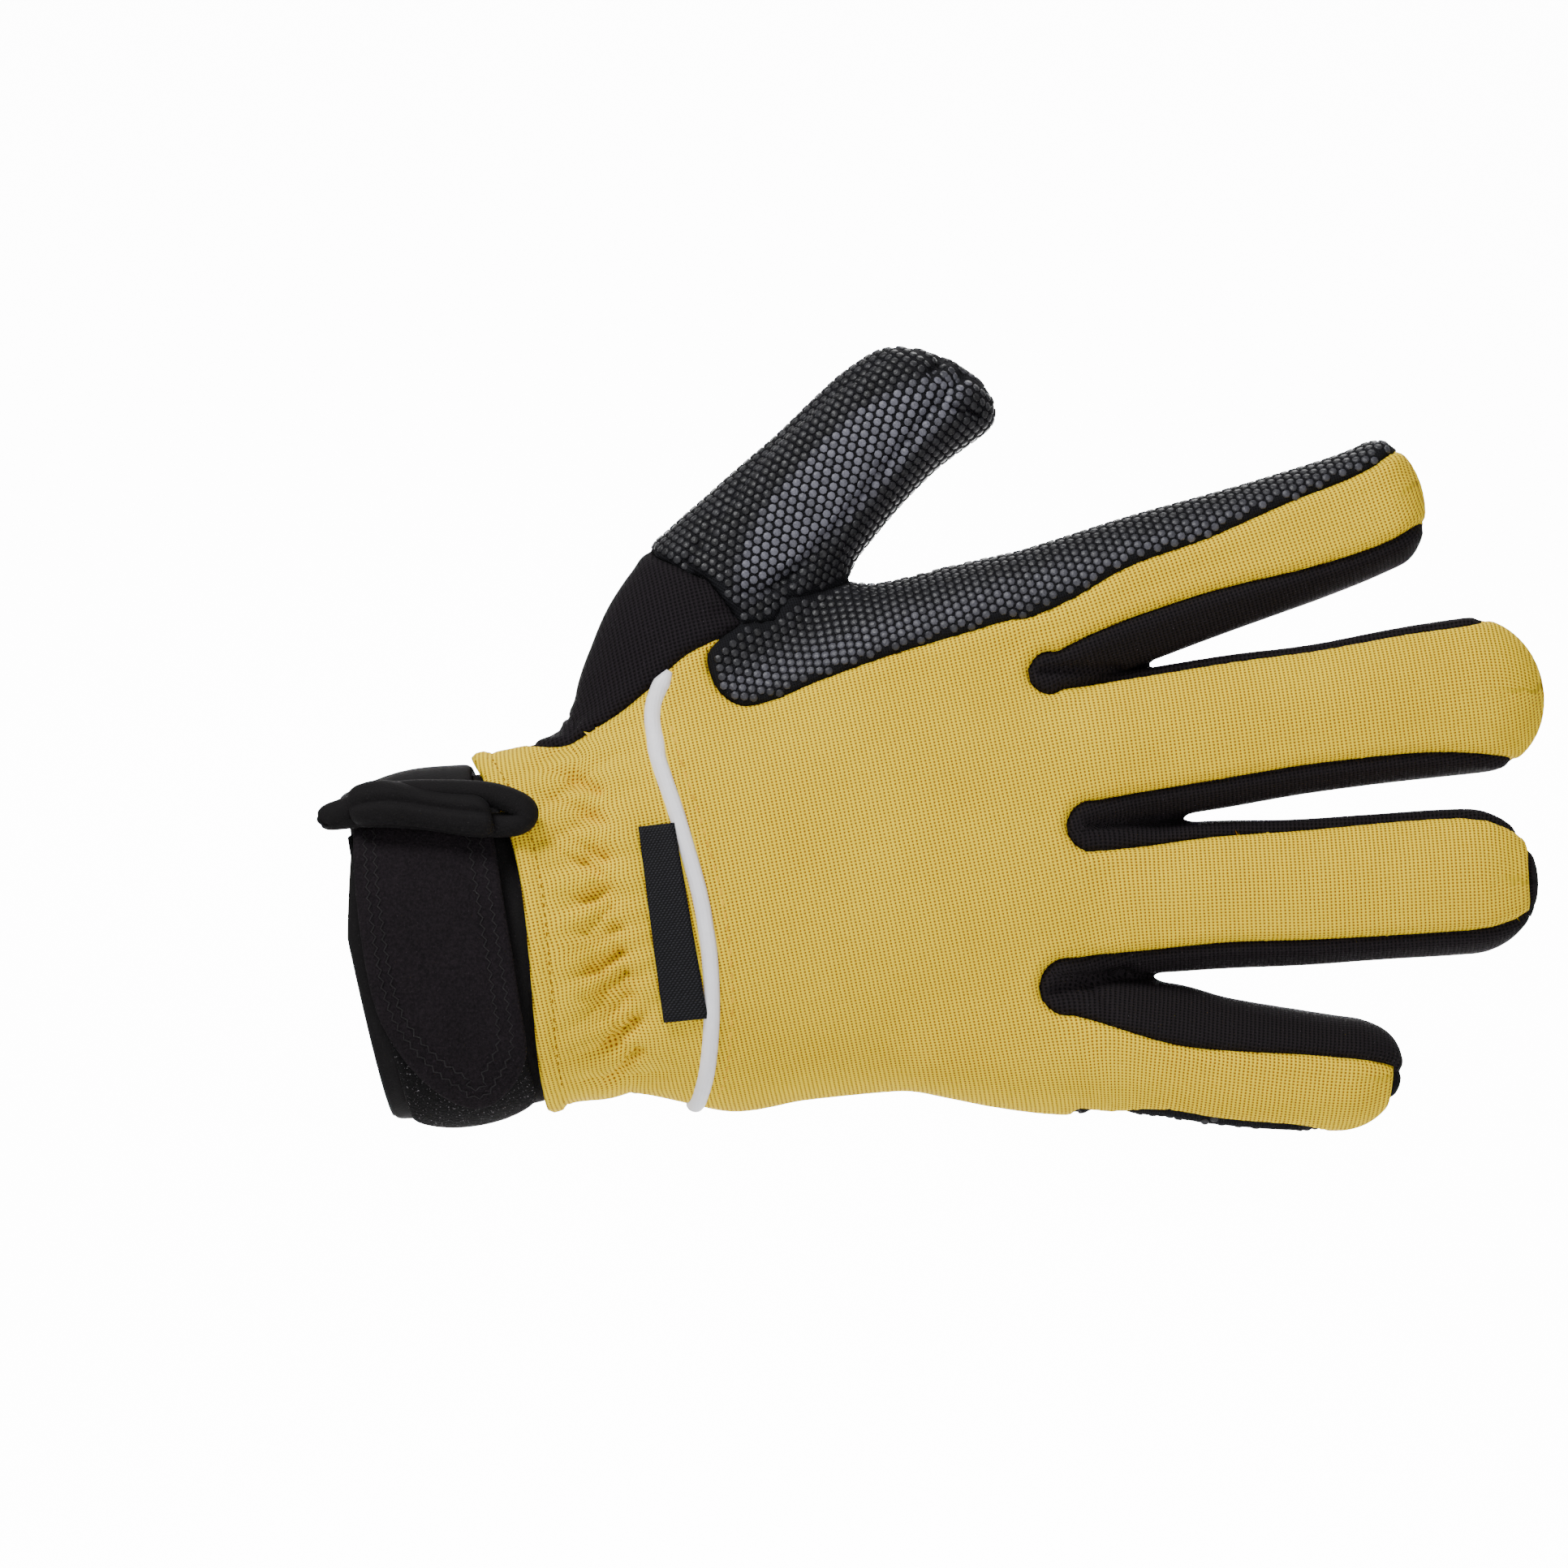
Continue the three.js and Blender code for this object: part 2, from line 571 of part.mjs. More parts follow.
// Piping: a cord along the seam, half sunk in the wall.
const pipingSeat = pipingRadius + seamGap;
const pipingAngles = { from: 24, to: 176 };
const pipingSteps = 26;
function pipingPoint(degrees) {
  const angle = THREE.MathUtils.degToRad(degrees);
  const [low, high] = [handLow(0.42) * palmHalf, handHigh(0.42) * palmHalf];
  const across = (high - low) / 2 + ((high + low) / 2) * pushed(Math.cos(angle));
  return handPoint(pipingAlong(across / palmHalf), angle, 0);
}
function cord(radius, overrun) {
  const path = new THREE.CatmullRomCurve3(
    Array.from({ length: pipingSteps + 1 }, (_, i) => {
      const share = (i / pipingSteps) * (1 + 2 * overrun) - overrun;
      return pipingPoint(pipingAngles.from + (pipingAngles.to - pipingAngles.from) * share);
    }),
  );
  const corners = 8;
  const section = new THREE.Shape(
    Array.from({ length: corners }, (_, i) => {
      const turn = (2 * Math.PI * i) / corners;
      return new THREE.Vector2(radius * Math.cos(turn), radius * Math.sin(turn));
    }),
  );
  return solid(new THREE.ExtrudeGeometry(section, { extrudePath: path, steps: 30, bevelEnabled: false }));
}
const piping = cord(pipingRadius, 0);
const pipingGroove = cord(pipingSeat, 0.01);

const backSolid = backRegion(0).subtract(thumbRegion(seamGap)).subtract(gussetRegion(seamGap));
const backPanel = shell.intersect(backSolid).subtract(wristRegion(seamGap / 2)).subtract(pipingGroove);
const wristGather = shell.intersect(backSolid).intersect(wristRegion(-seamGap / 2)).subtract(pipingGroove);
const fourchetteRegions = (grow) => [
  betweenRegion(digits.index, digits.middle, noses[0], grow),
  betweenRegion(digits.middle, digits.ring, noses[1], grow),
  betweenRegion(digits.ring, digits.little, noses[2], grow),
];
const grownBack = backRegion(seamGap);
const fourchettes = fourchetteRegions(-seamGap / 2).map((region) =>
  shell.intersect(region).subtract(grownBack));
const thumbCover = shell.intersect(thumbRegion(0));
const thumbGusset = shell.intersect(gussetRegion(0)).subtract(thumbRegion(seamGap)).subtract(pipingGroove);
const palmPanel = shell
  .subtract(grownBack)
  .subtract(union(fourchetteRegions(seamGap / 2)))
  .subtract(thumbRegion(seamGap))
  .subtract(gussetRegion(seamGap))
  .subtract(pipingGroove);

// A sheet wrapped on the band between two angles, with its two edges as functions of the angle. With crowding
// above 1 its steps lie closer together towards its end.
function wrap(steps, rows, { from, to }, inside, thickness, leftAt, rightAt, crowding = 1) {
  return bentBox(rows, steps, (u, v, w) => {
    const degrees = to + (from - to) * v ** crowding;
    const [left, right] = [leftAt(degrees), rightAt(degrees)];
    return bandPoint((left + (right - left) * u) / bandLength, THREE.MathUtils.degToRad(degrees),
      inside + thickness * w);
  });
}

// Half width of a wrapped piece that ends in a round nose at an angle.
const bandRadius = (bandLow + bandHigh) / 4 + bandDeep / 2;
const degreesPerMillimetre = THREE.MathUtils.radToDeg(1) / bandRadius;
function roundEnd(half, noseAngle, radius) {
  return (angle) => {
    const left = (noseAngle - angle) / degreesPerMillimetre;
    if (left >= radius) return half;
    const drop = 1 - Math.max(0, left) / radius;
    return half * Math.max(0.12, Math.sqrt(Math.max(0, 1 - drop * drop)));
  };
}

const padAngles = { from: 42, to: 172 };
const tabAngles = { from: 34, to: 145.5 };
const strapAngles = { from: -150, to: 33 };
const padSeat = seamGap;
const tabSeat = padSeat + padThickness + seamGap;
const strapSeat = seamGap;
const padHalf = roundEnd(padWidth / 2, padAngles.to, padWidth / 3);
const loopPad = wrap(14, 3, padAngles, padSeat, padThickness,
  (degrees) => padMiddle - padHalf(degrees), (degrees) => padMiddle + padHalf(degrees));

// The tab leans towards the wrist's opening and ends round: its two edges as shares of its width, by angle.
const tabRows = [
  { angle: 34, left: 0.182, right: 1.07 },
  { angle: 60, left: 0.115, right: 1.085 },
  { angle: 84, left: 0.066, right: 1.065 },
  { angle: 97, left: 0.056, right: 1.051 },
  { angle: 109, left: 0.094, right: 1.028 },
  { angle: 125, left: 0.224, right: 1.002 },
  { angle: 137.5, left: 0.381, right: 0.86 },
  { angle: 143.5, left: 0.505, right: 0.727 },
  { angle: 145.5, left: 0.57, right: 0.66 },
];
const tabLeft = column(tabRows, "angle", "left");
const tabRight = column(tabRows, "angle", "right");
const closureTab = wrap(16, 3, tabAngles, tabSeat, tabThickness,
  (degrees) => tabLeft(degrees) * tabWidth, (degrees) => tabRight(degrees) * tabWidth, 1.5);
const wristStrap = wrap(15, 2, strapAngles, strapSeat, strapWall,
  () => strapMiddle - strapWidth / 2, () => strapMiddle + strapWidth / 2);

// The strap's end is folded into a roll, which lies along the wrist and stands out past the strap's edges.
const foldAngles = { from: 44, to: 52 };
const foldOut = tabSeat + tabThickness + foldRadius;
const foldRows = [
  { along: 0, size: 0.55, lift: -0.2 },
  { along: 0.04, size: 0.86, lift: -0.12 },
  { along: 0.12, size: 1, lift: 0 },
  { along: 0.5, size: 1.04, lift: 0 },
  { along: 0.84, size: 1.1, lift: 0.1 },
  { along: 0.95, size: 1.0, lift: 0.06 },
  { along: 1, size: 0.62, lift: 0 },
];
const foldSize = column(foldRows, "along", "size");
const foldLift = column(foldRows, "along", "lift");
const strapFold = bentCylinder([0, 0.04, 0.12, 0.35, 0.6, 0.84, 0.95, 1], 12, (at, angle, radius) => {
  const share = (foldMiddle + (at - 0.5) * foldLength) / bandLength;
  const lie = THREE.MathUtils.degToRad(THREE.MathUtils.lerp(foldAngles.from, foldAngles.to, at));
  const centre = bandPoint(share, lie, foldOut + foldLift(at) * foldRadius);
  const size = radius * foldRadius * foldSize(at);
  const spread = place(0, size * Math.cos(angle), -size * Math.sin(angle));
  return centre.add(spread);
});

// Label: a short flat tab that comes out from under the piping over the gathered wrist.
const labelAngles = { from: 78, to: 128 };
const label = bentBox(3, 8, (u, v, w) => {
  const degrees = labelAngles.to + (labelAngles.from - labelAngles.to) * v;
  const angle = THREE.MathUtils.degToRad(degrees);
  const [low, high] = [handLow(0.4) * palmHalf, handHigh(0.4) * palmHalf];
  const across = (high - low) / 2 + ((high + low) / 2) * pushed(Math.cos(angle));
  const edge = pipingAlong(across / palmHalf) * handLength - pipingSeat - seamGap;
  const share = (edge - labelWidth * (1 - u)) / handLength;
  return handPoint(share, angle, labelLift + labelThickness * w);
});

// Materials
const cloth = (color, roughness) => new THREE.MeshStandardMaterial({ color, roughness, metalness: 0 });
const yellowKnit = cloth(0xf6cf45, 0.85);
const blackKnit = cloth(0x17141a, 0.9);
const gripCloth = cloth(0x2b2b30, 0.55);
const neoprene = cloth(0x141218, 0.85);
const feltTab = cloth(0x19171c, 0.95);
const pilePad = cloth(0x101013, 0.7);
const whiteCord = cloth(0xeeebf0, 0.5);
const wovenLabel = cloth(0x1b1c22, 0.75);

// A panel without the chips that its seams cut loose at a corner.
function whole(made) {
  return made.decompose().reduce((kept, next) => (next.volume() > kept.volume() ? next : kept));
}

// One named mesh of the group from a solid.
function mesh(name, made, material) {
  const { vertProperties, triVerts, numProp } = whole(made).getMesh();
  const position = new Float32Array((vertProperties.length / numProp) * 3);
  for (let i = 0; i < position.length / 3; i++) {
    position.set(vertProperties.subarray(i * numProp, i * numProp + 3), i * 3);
  }
  const geometry = new THREE.BufferGeometry();
  geometry.setAttribute("position", new THREE.BufferAttribute(position, 3));
  geometry.setIndex(new THREE.BufferAttribute(triVerts, 1));
  const made3 = new THREE.Mesh(geometry, material);
  made3.name = name;
  return made3;
}

const glove = new THREE.Group();
glove.add(
  mesh("back_panel", backPanel, yellowKnit),
  mesh("wrist_gather", wristGather, yellowKnit),
  mesh("palm_panel", palmPanel, gripCloth),
  mesh("thumb_cover", thumbCover, gripCloth),
  mesh("thumb_gusset", thumbGusset, blackKnit),
  mesh("fourchette_index_middle", fourchettes[0], blackKnit),
  mesh("fourchette_middle_ring", fourchettes[1], blackKnit),
  mesh("fourchette_ring_little", fourchettes[2], blackKnit),
  mesh("piping", piping, whiteCord),
  mesh("label", label, wovenLabel),
  mesh("wrist_band", wristBand, neoprene),
  mesh("wrist_strap", wristStrap, neoprene),
  mesh("strap_fold", strapFold, neoprene),
  mesh("closure_tab", closureTab, feltTab),
  mesh("loop_pad", loopPad, pilePad),
);

export default glove;
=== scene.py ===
"""A right-hand fishing glove in its worn form, seen from the back of the hand."""

import bpy
import numpy as np
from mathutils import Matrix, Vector
from mathutils.bvhtree import BVHTree
from mathutils.kdtree import KDTree


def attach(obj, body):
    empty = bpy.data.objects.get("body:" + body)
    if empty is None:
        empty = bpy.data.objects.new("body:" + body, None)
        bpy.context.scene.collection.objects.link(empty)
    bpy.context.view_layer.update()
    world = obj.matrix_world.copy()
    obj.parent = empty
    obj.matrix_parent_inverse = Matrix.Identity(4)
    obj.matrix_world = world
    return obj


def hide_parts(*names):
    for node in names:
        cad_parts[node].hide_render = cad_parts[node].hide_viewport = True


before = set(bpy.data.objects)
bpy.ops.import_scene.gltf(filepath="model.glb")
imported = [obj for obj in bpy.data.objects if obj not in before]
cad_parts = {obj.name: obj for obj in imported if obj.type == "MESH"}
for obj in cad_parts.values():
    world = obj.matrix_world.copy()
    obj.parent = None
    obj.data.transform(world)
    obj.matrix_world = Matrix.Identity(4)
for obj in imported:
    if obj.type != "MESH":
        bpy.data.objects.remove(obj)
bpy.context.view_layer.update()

# The shell: knit and grip cloth, cut in panels and sewn edge to edge into one hollow shell round the hand.
# Worn, it has the hand's form: an oval tube for the palm and wrist, five for the digits, and soft webs.
# Sizes are millimetres along the hand, across it towards the thumb, and in depth from the back to the palm.
mm = 0.001
tilt = np.radians(12.5)
section_power = 2.3


def place(along, across, depth):
    """Frame points of positions along the hand, across it and in depth: a turn by tilt about Y."""
    x = along * np.cos(tilt) - across * np.sin(tilt)
    z = along * np.sin(tilt) + across * np.cos(tilt)
    return np.stack([x, depth + 0 * x, z], -1)


def unplace(points):
    """The turn of place() undone: along, across and depth of frame points."""
    x, y, z = np.moveaxis(points, -1, 0)
    return x * np.cos(tilt) + z * np.sin(tilt), z * np.cos(tilt) - x * np.sin(tilt), y


def curve(knots, values, x):
    """Cubic Hermite curve through (knots, values) at x; each slope is the chord's past its neighbours."""
    knots, values = np.asarray(knots, float), np.asarray(values, float)
    number = np.arange(len(knots))
    before, after = np.maximum(number - 1, 0), np.minimum(number + 1, len(knots) - 1)
    slope = (values[after] - values[before]) / (knots[after] - knots[before])
    i = np.clip(np.searchsorted(knots, x, side="right") - 1, 0, len(knots) - 2)
    span = knots[i + 1] - knots[i]
    u = np.clip((x - knots[i]) / span, 0, 1)
    rise = values[i + 1] - values[i]
    start, end = slope[i] * span, slope[i + 1] * span
    return values[i] + u * (start + u * (3 * rise - 2 * start - end + u * (start + end - 2 * rise)))


def smooth(x, low, high):
    """Smoothstep: 0 below low, 1 above high, 3 u^2 - 2 u^3 between them."""
    u = np.clip((x - low) / (high - low), 0, 1)
    return u * u * (3 - 2 * u)


# The palm and wrist, from the cuff to the knuckles: both edges across the hand, and depths back and front.
hand = dict(
    along=[28, 39, 46, 55, 65.6, 80, 100, 109, 118.4, 132, 142.4, 150.4, 157.6, 162.4],
    low=[33.1, 33.1, 32.8, 37.4, 41.6, 42.5, 45, 48, 51.2, 54.9, 55.6, 51, 44.7, 37.4],
    high=[38.1, 38.1, 39.5, 40.8, 44.2, 47.1, 51.5, 54.6, 54.4, 54.1, 52, 47.8, 43.7, 37.4],
    back=[21.9, 21.9, 20.6, 20.4, 19.4, 18, 17, 16.6, 16, 14.6, 12, 8.4, 4.8, 1.2],
    palm=[21.9, 21.9, 21, 22.4, 24, 25, 23, 21.6, 20, 17.2, 13.6, 9.4, 4.8, 1.2],
)
# Each digit: where it starts, its length, half width, half thickness, angle and the roundness of its tip.
# Then, at shares of its length: its bow off the chord, width, thickness, and both edges of its yellow strip.
digits = {
    "index": dict(
        root=(120, 38.48), length=106, half=13.8, deep=10, angle=6.7, tip=0.62, pitch=(-2.5, 3.5),
        reach=[0, 0.2, 0.3, 0.42, 0.58, 0.76, 0.9, 1],
        bow=[0, -0.01, -0.012, -0.014, -0.016, -0.02, -0.016, 0],
        wide=[0.95, 1.04, 1.04, 1.03, 0.98, 0.94, 0.9, 0.88],
        thick=[0.9, 1, 1, 1, 1, 0.98, 0.95, 0.92],
        upper=[0.08, 0.08, 0.14, 0.33, 0.38, 0.56, 0.62, 0.72],
        lower=[-0.6, -0.55, -0.42, -0.36, -0.4, -0.54, -0.62, -0.6], ends=4,
    ),
    "middle": dict(
        root=(120, 14.3), length=120.8, half=14.9, deep=10.5, angle=-4.2, tip=0.95, pitch=(-2.5, 3.5),
        reach=[0, 0.2, 0.45, 0.62, 0.8, 0.92, 1],
        bow=[0, 0.003, 0.005, 0.006, 0.008, 0.006, 0],
        wide=[0.92, 0.97, 0.99, 0.97, 1.02, 1.03, 1.02],
        thick=[0.9, 1, 1, 0.98, 0.96, 0.92, 0.9],
        upper=[0.9, 0.93, 0.93, 0.95, 0.95, 0.96, 1.1],
        lower=[-0.7, -0.66, -0.62, -0.63, -0.7, -0.88, -1.1], ends=4,
    ),
    "ring": dict(
        root=(115.2, -11.96), length=117.6, half=14.5, deep=10.2, angle=-9.5, tip=0.95, pitch=(-2.5, 3.5),
        reach=[0, 0.25, 0.45, 0.62, 0.82, 0.92, 1],
        bow=[0, 0.002, 0.003, 0, 0.004, 0.003, 0],
        wide=[0.92, 1, 1.02, 1, 0.99, 0.97, 0.95],
        thick=[0.9, 1, 1, 0.98, 0.96, 0.93, 0.9],
        upper=[0.8, 0.72, 0.82, 0.89, 0.93, 0.88, 0.55],
        lower=[-0.8, -0.74, -0.65, -0.66, -0.69, -0.66, -0.45], ends=-1.6,
    ),
    "little": dict(
        root=(110.4, -34.84), length=90.4, half=12.6, deep=9.4, angle=-18, tip=0.9, pitch=(-2.5, 3.5),
        reach=[0, 0.25, 0.48, 0.6, 0.8, 0.92, 1],
        bow=[0, 0.002, 0.002, -0.01, -0.018, -0.014, 0],
        wide=[0.9, 1.04, 1.04, 1, 0.92, 0.86, 0.84],
        thick=[0.95, 1.02, 1.02, 1, 0.98, 0.94, 0.9],
        upper=[0.5, 0.42, 0.11, 0.18, 0.32, 0.3, 0.1],
        lower=[-1.3, -1.1, -0.955, -0.955, -0.96, -1.2, -1.3], ends=-1.6,
    ),
    "thumb": dict(
        root=(66, 21.84), length=104.5, half=13.2, deep=11.5, angle=43, tip=0.68, pitch=(5, 10),
        reach=[0, 0.155, 0.285, 0.41, 0.52, 0.66, 0.82, 0.93, 1],
        bow=[0, 0.06, 0.1, 0.12, 0.118, 0.098, 0.068, 0.03, 0],
        wide=[1.75, 1.72, 1.6, 1.38, 1.18, 1.06, 1.02, 0.98, 0.93],
        thick=[1.35, 1.42, 1.38, 1.2, 1.08, 1.02, 1, 0.95, 0.9],
    ),
}
for digit in digits.values():
    digit["ahead"] = np.cos(np.radians(digit["angle"])), np.sin(np.radians(digit["angle"]))
thumb_shape = digits["thumb"]
fingers = [digits[name] for name in ("index", "middle", "ring", "little")]


def slant(along, across):
    """How far the knuckle line falls back towards the little finger."""
    side = np.clip((-across / 52 - 0.1) / 0.5, 0, 1)
    return 12.5 * side * side * smooth(along, 99, 152)


def oval(a, d, w, h):
    """Superellipse radius: 1 on the outline of half width w and half depth h."""
    return (np.abs(a / w) ** section_power + np.abs(d / h) ** section_power) ** (1 / section_power)


def hand_section(along, across):
    """Middle across, half width, middle depth and half depth of the palm's section."""
    s = along + slant(along, across)
    low, high, back, palm = (curve(hand["along"], hand[edge], s) for edge in ("low", "high", "back", "palm"))
    return (high - low) / 2, (high + low) / 2, (palm - back) / 2, (palm + back) / 2


def hand_field(along, across, depth):
    """Distance outside the palm's tube: r (1 - 1 / oval), cut off square at the knuckles."""
    middle, w, deep, h = hand_section(along, across)
    a, d = across - middle, depth - deep
    ring = np.maximum(oval(a, d, w, h), 1e-6)
    tube = np.hypot(a, d) * (1 - 1 / ring) - 1e-9
    return np.maximum(tube, along + slant(along, across) - hand["along"][-1])


def along_digit(digit, along, across):
    """Share of the digit's length, and the distance off its bowed middle line."""
    c, s = digit["ahead"]
    ds, dt = along - digit["root"][0], across - digit["root"][1]
    reach = (ds * c + dt * s) / digit["length"]
    step = 0.01
    bows = [curve(digit["reach"], digit["bow"], at) * digit["length"] for at in (reach, reach + step)]
    slope = (bows[1] - bows[0]) / (step * digit["length"])
    return reach, (dt * c - ds * s - bows[0]) / np.hypot(1, slope)


def digit_section(digit, reach):
    """Half width, half thickness and middle depth of a digit; it bends down with its reach squared."""
    w = digit["half"] * curve(digit["reach"], digit["wide"], reach)
    h = digit["deep"] * curve(digit["reach"], digit["thick"], reach)
    root, tip = digit["pitch"]
    return w, h, root + (tip - root) * np.clip(reach, 0, 1) ** 2


def digit_field(digit, along, across, depth):
    """Distance outside a digit: its section's superellipse, closed by a half ellipsoid at either end."""
    reach, a = along_digit(digit, along, across)
    w, h, deep = digit_section(digit, reach)
    d = depth - deep
    cap = digit["tip"] * digit["half"]
    past = np.maximum(reach * digit["length"] - (digit["length"] - cap), 0)
    short = np.maximum(-reach * digit["length"], 0)
    ring = np.sqrt(oval(a, d, w, h) ** 2 + (past / cap) ** 2 + (short / digit["half"]) ** 2)
    return np.sqrt(a * a + d * d + past * past + short * short) * (1 - 1 / np.maximum(ring, 1e-6))


def soft_union(a, b, width):
    """Smaller of two distances, rounded off over a width where they are alike."""
    near = np.maximum(width - np.abs(a - b), 0) / width
    return np.minimum(a, b) - near * near * width / 4


def form_field(points):
    """Distance outside the gloved hand: its palm and digits run together."""
    position = unplace(points)
    joined = digit_field(fingers[0], *position)
    for finger in fingers[1:]:
        joined = soft_union(joined, digit_field(finger, *position), 1.2)
    body = soft_union(hand_field(*position), joined, 5)
    return soft_union(body, digit_field(thumb_shape, *position), 7)


def unit(vectors):
    """The vectors, each made one long."""
    return vectors / np.linalg.norm(vectors, axis=-1, keepdims=True)


def gradient(field, points, step=0.2):
    """Central differences of a field at points."""
    shifts = step * np.eye(3)
    return np.stack([(field(points + shift) - field(points - shift)) / (2 * step) for shift in shifts], -1)


def surface_net(field, low, high, pitch):
    """Quads round a field's zero surface: a point in each cell that it crosses, four to a crossed edge."""
    sides = [np.arange(a, b, pitch) for a, b in zip(low, high)]
    grid = np.stack(np.meshgrid(*sides, indexing="ij"), -1)
    value = np.concatenate([field(slab)[None] for slab in grid])
    cell_shape = np.array(value.shape) - 1
    total, count = np.zeros((*cell_shape, 3)), np.zeros(cell_shape)

    def corner(at):
        """Values at one of the eight corners of every cell."""
        return value[tuple(slice(start, start + size) for start, size in zip(at, cell_shape))]

    for first in np.ndindex(2, 2, 2):
        for step in np.eye(3, dtype=int)[np.array(first) == 0]:
            a, b = corner(first), corner(first + step)
            crossed = (a < 0) != (b < 0)
            share = a[crossed] / (a - b)[crossed]
            total[crossed] += first + share[:, None] * step
            count += crossed
    cells = np.argwhere(count > 0)
    filled = tuple(cells.T)
    index = -np.ones(cell_shape, int)
    index[filled] = np.arange(len(cells))
    points = np.array(low) + pitch * (cells + total[filled] / count[filled][:, None])
    quads = []
    for axis in range(3):
        beside = [(axis + 1) % 3, (axis + 2) % 3]
        near, far = [slice(1, -1)] * 3, [slice(1, -1)] * 3
        near[axis], far[axis] = slice(0, -1), slice(1, None)
        a, b = value[tuple(near)], value[tuple(far)]
        for crossed, order in (((a < 0) & (b >= 0), 1), ((a >= 0) & (b < 0), -1)):
            ring = []
            for shift in ((0, 0), (1, 0), (1, 1), (0, 1)):
                cell = np.argwhere(crossed)
                cell[:, beside] += shift
                ring.append(index[tuple(cell.T)])
            quads.append(np.stack(ring[::order], -1))
    return points, np.concatenate(quads)


points, quads = surface_net(form_field, (-6, -30, -40), (242, 34, 134), 1.0)
neighbours = np.concatenate([quads[:, [i, (i + 1) % 4]] for i in range(4)])
neighbours = np.concatenate([neighbours, neighbours[:, ::-1]])
# Each point is drawn towards the mean of its neighbours, then back onto the form by a Newton step.
for _ in range(5):
    around, count = np.zeros_like(points), np.zeros(len(points))
    np.add.at(around, neighbours[:, 0], points[neighbours[:, 1]])
    np.add.at(count, neighbours[:, 0], 1)
    points = 0.4 * points + 0.6 * around / np.maximum(count, 1)[:, None]
    slope = gradient(form_field, points)
    points -= (form_field(points) / np.maximum((slope ** 2).sum(-1), 0.05))[:, None] * slope
triangles = np.concatenate([quads[:, [0, 1, 2]], quads[:, [0, 2, 3]]])

# The seams: each panel is bounded by stitched lines, given by points along and across the hand.
# The noses are the round ends of the black strips between the fingers; the last three are depths of seams.
gusset_back = [(32, 38.7), (40, 38.6), (49, 37.5), (56, 39.1), (66.7, 43.9), (75.2, 48.6), (83.2, 50.7)]
gusset_thumb = [(87.7, 52.4), (82.7, 62.5), (73.3, 69.7)]
thumb_web = [(94.1, 51.7), (97.6, 55.2), (108.2, 55.9), (124.8, 61.9), (176, 78)]
patch_edge = [
    (83.2, 50.7), (80, 48.4), (79.2, 45.8), (80, 41.1), (82.1, 38), (85, 36.4), (91, 36.6), (98.6, 38.1),
    (112, 39.9), (125.4, 40.9), (139.2, 41.7),
]
piping_line = [
    (55.7, -41.6), (58.7, -38), (62.4, -31.2), (66.7, -15.6), (68.3, 0.5), (67.4, 17.2), (65.8, 35.9),
    (67.7, 42.1), (72.3, 46.8),
]
hem_line = [(29.1, -32.8), (30.2, -21.8), (32.5, -6.2), (34.4, 9.9), (34.2, 22.9), (32, 31.2), (29, 39)]
elastic = [(44.7, -33.1), (45.9, -24.2), (45.4, -15), (45.7, -2.6), (48.8, 11.5), (48.8, 25.5), (49.2, 39.5)]
noses = [(140.6, 29.8, 4.0), (141.3, -1.4, 4.9), (129.3, -31.4, 5.5)]
side_seam, palm_seam, gusset_seam = 1.2, 5.5, 14


def to_line(along, across, path):
    """Distance to a line of points, the share of it passed at the nearest place, and whether a ray along the
    hand crosses it an odd number of times."""
    nearest, share = np.full(along.shape, np.inf), np.zeros(along.shape)
    odd = np.zeros(along.shape, bool)
    for number, ((ax, ay), (bx, by)) in enumerate(zip(path[:-1], path[1:])):
        ex, ey = bx - ax, by - ay
        u = np.clip(((along - ax) * ex + (across - ay) * ey) / (ex * ex + ey * ey), 0, 1)
        away = np.hypot(along - ax - u * ex, across - ay - u * ey)
        share = np.where(away < nearest, (number + u) / (len(path) - 1), share)
        nearest = np.minimum(nearest, away)
        spans = (ay > across) != (by > across)
        odd ^= spans & (along < ax + (across - ay) * ex / np.where(spans, ey, 1))
    return nearest, share, odd


def outline_distance(along, across, outline):
    """Signed distance to a closed outline, negative inside it."""
    nearest, _, inside = to_line(along, across, np.array([*outline, outline[0]], float))
    return np.where(inside, -nearest, nearest)


def rounded(line, steps=6):
    """An open line of points made smooth: Hermite curves over its chord lengths."""
    line = np.asarray(line, float)
    chord = np.concatenate([[0], np.cumsum(np.hypot(*np.diff(line, axis=0).T))])
    at = np.interp(np.arange(0, len(line) - 1 + 1e-9, 1 / steps), np.arange(len(line)), chord)
    return np.stack([curve(chord, line[:, 0], at), curve(chord, line[:, 1], at)], -1)


def digit_line(digit, reach, off=0.0):
    """Along and across of points beside a digit's middle line."""
    c, s = digit["ahead"]
    side = curve(digit["reach"], digit["bow"], reach) * digit["length"] + off
    ahead = reach * digit["length"]
    return np.stack([digit["root"][0] + ahead * c - side * s, digit["root"][1] + ahead * s + side * c], -1)


def strip_outline(digit):
    """The yellow strip on a finger's back, between its two seams."""
    reach = np.linspace(0.02, 1, 24)
    wide = digit_section(digit, reach)[0]
    offs = [wide * curve(digit["reach"], digit[name], reach) for name in ("upper", "lower")]
    edges = [digit_line(digit, reach, off) for off in offs]
    for edge in edges:
        edge[-1] += digit["ends"] * np.array(digit["ahead"])
    return np.concatenate([edges[0], edges[1][::-1]])


def along_of(line, across):
    """How far along the hand a line that crosses it lies, at each place across."""
    table = np.array(sorted(line, key=lambda point: point[1]), float)
    return curve(table[:, 1], table[:, 0], across)


def on_points(field):
    """A field of along, across and depth made a field of frame points."""
    return lambda points: field(*unplace(points))


@on_points
def hem_field(along, across, depth):
    """How far ahead of the cuff's hem."""
    return along - along_of(hem_line, across)


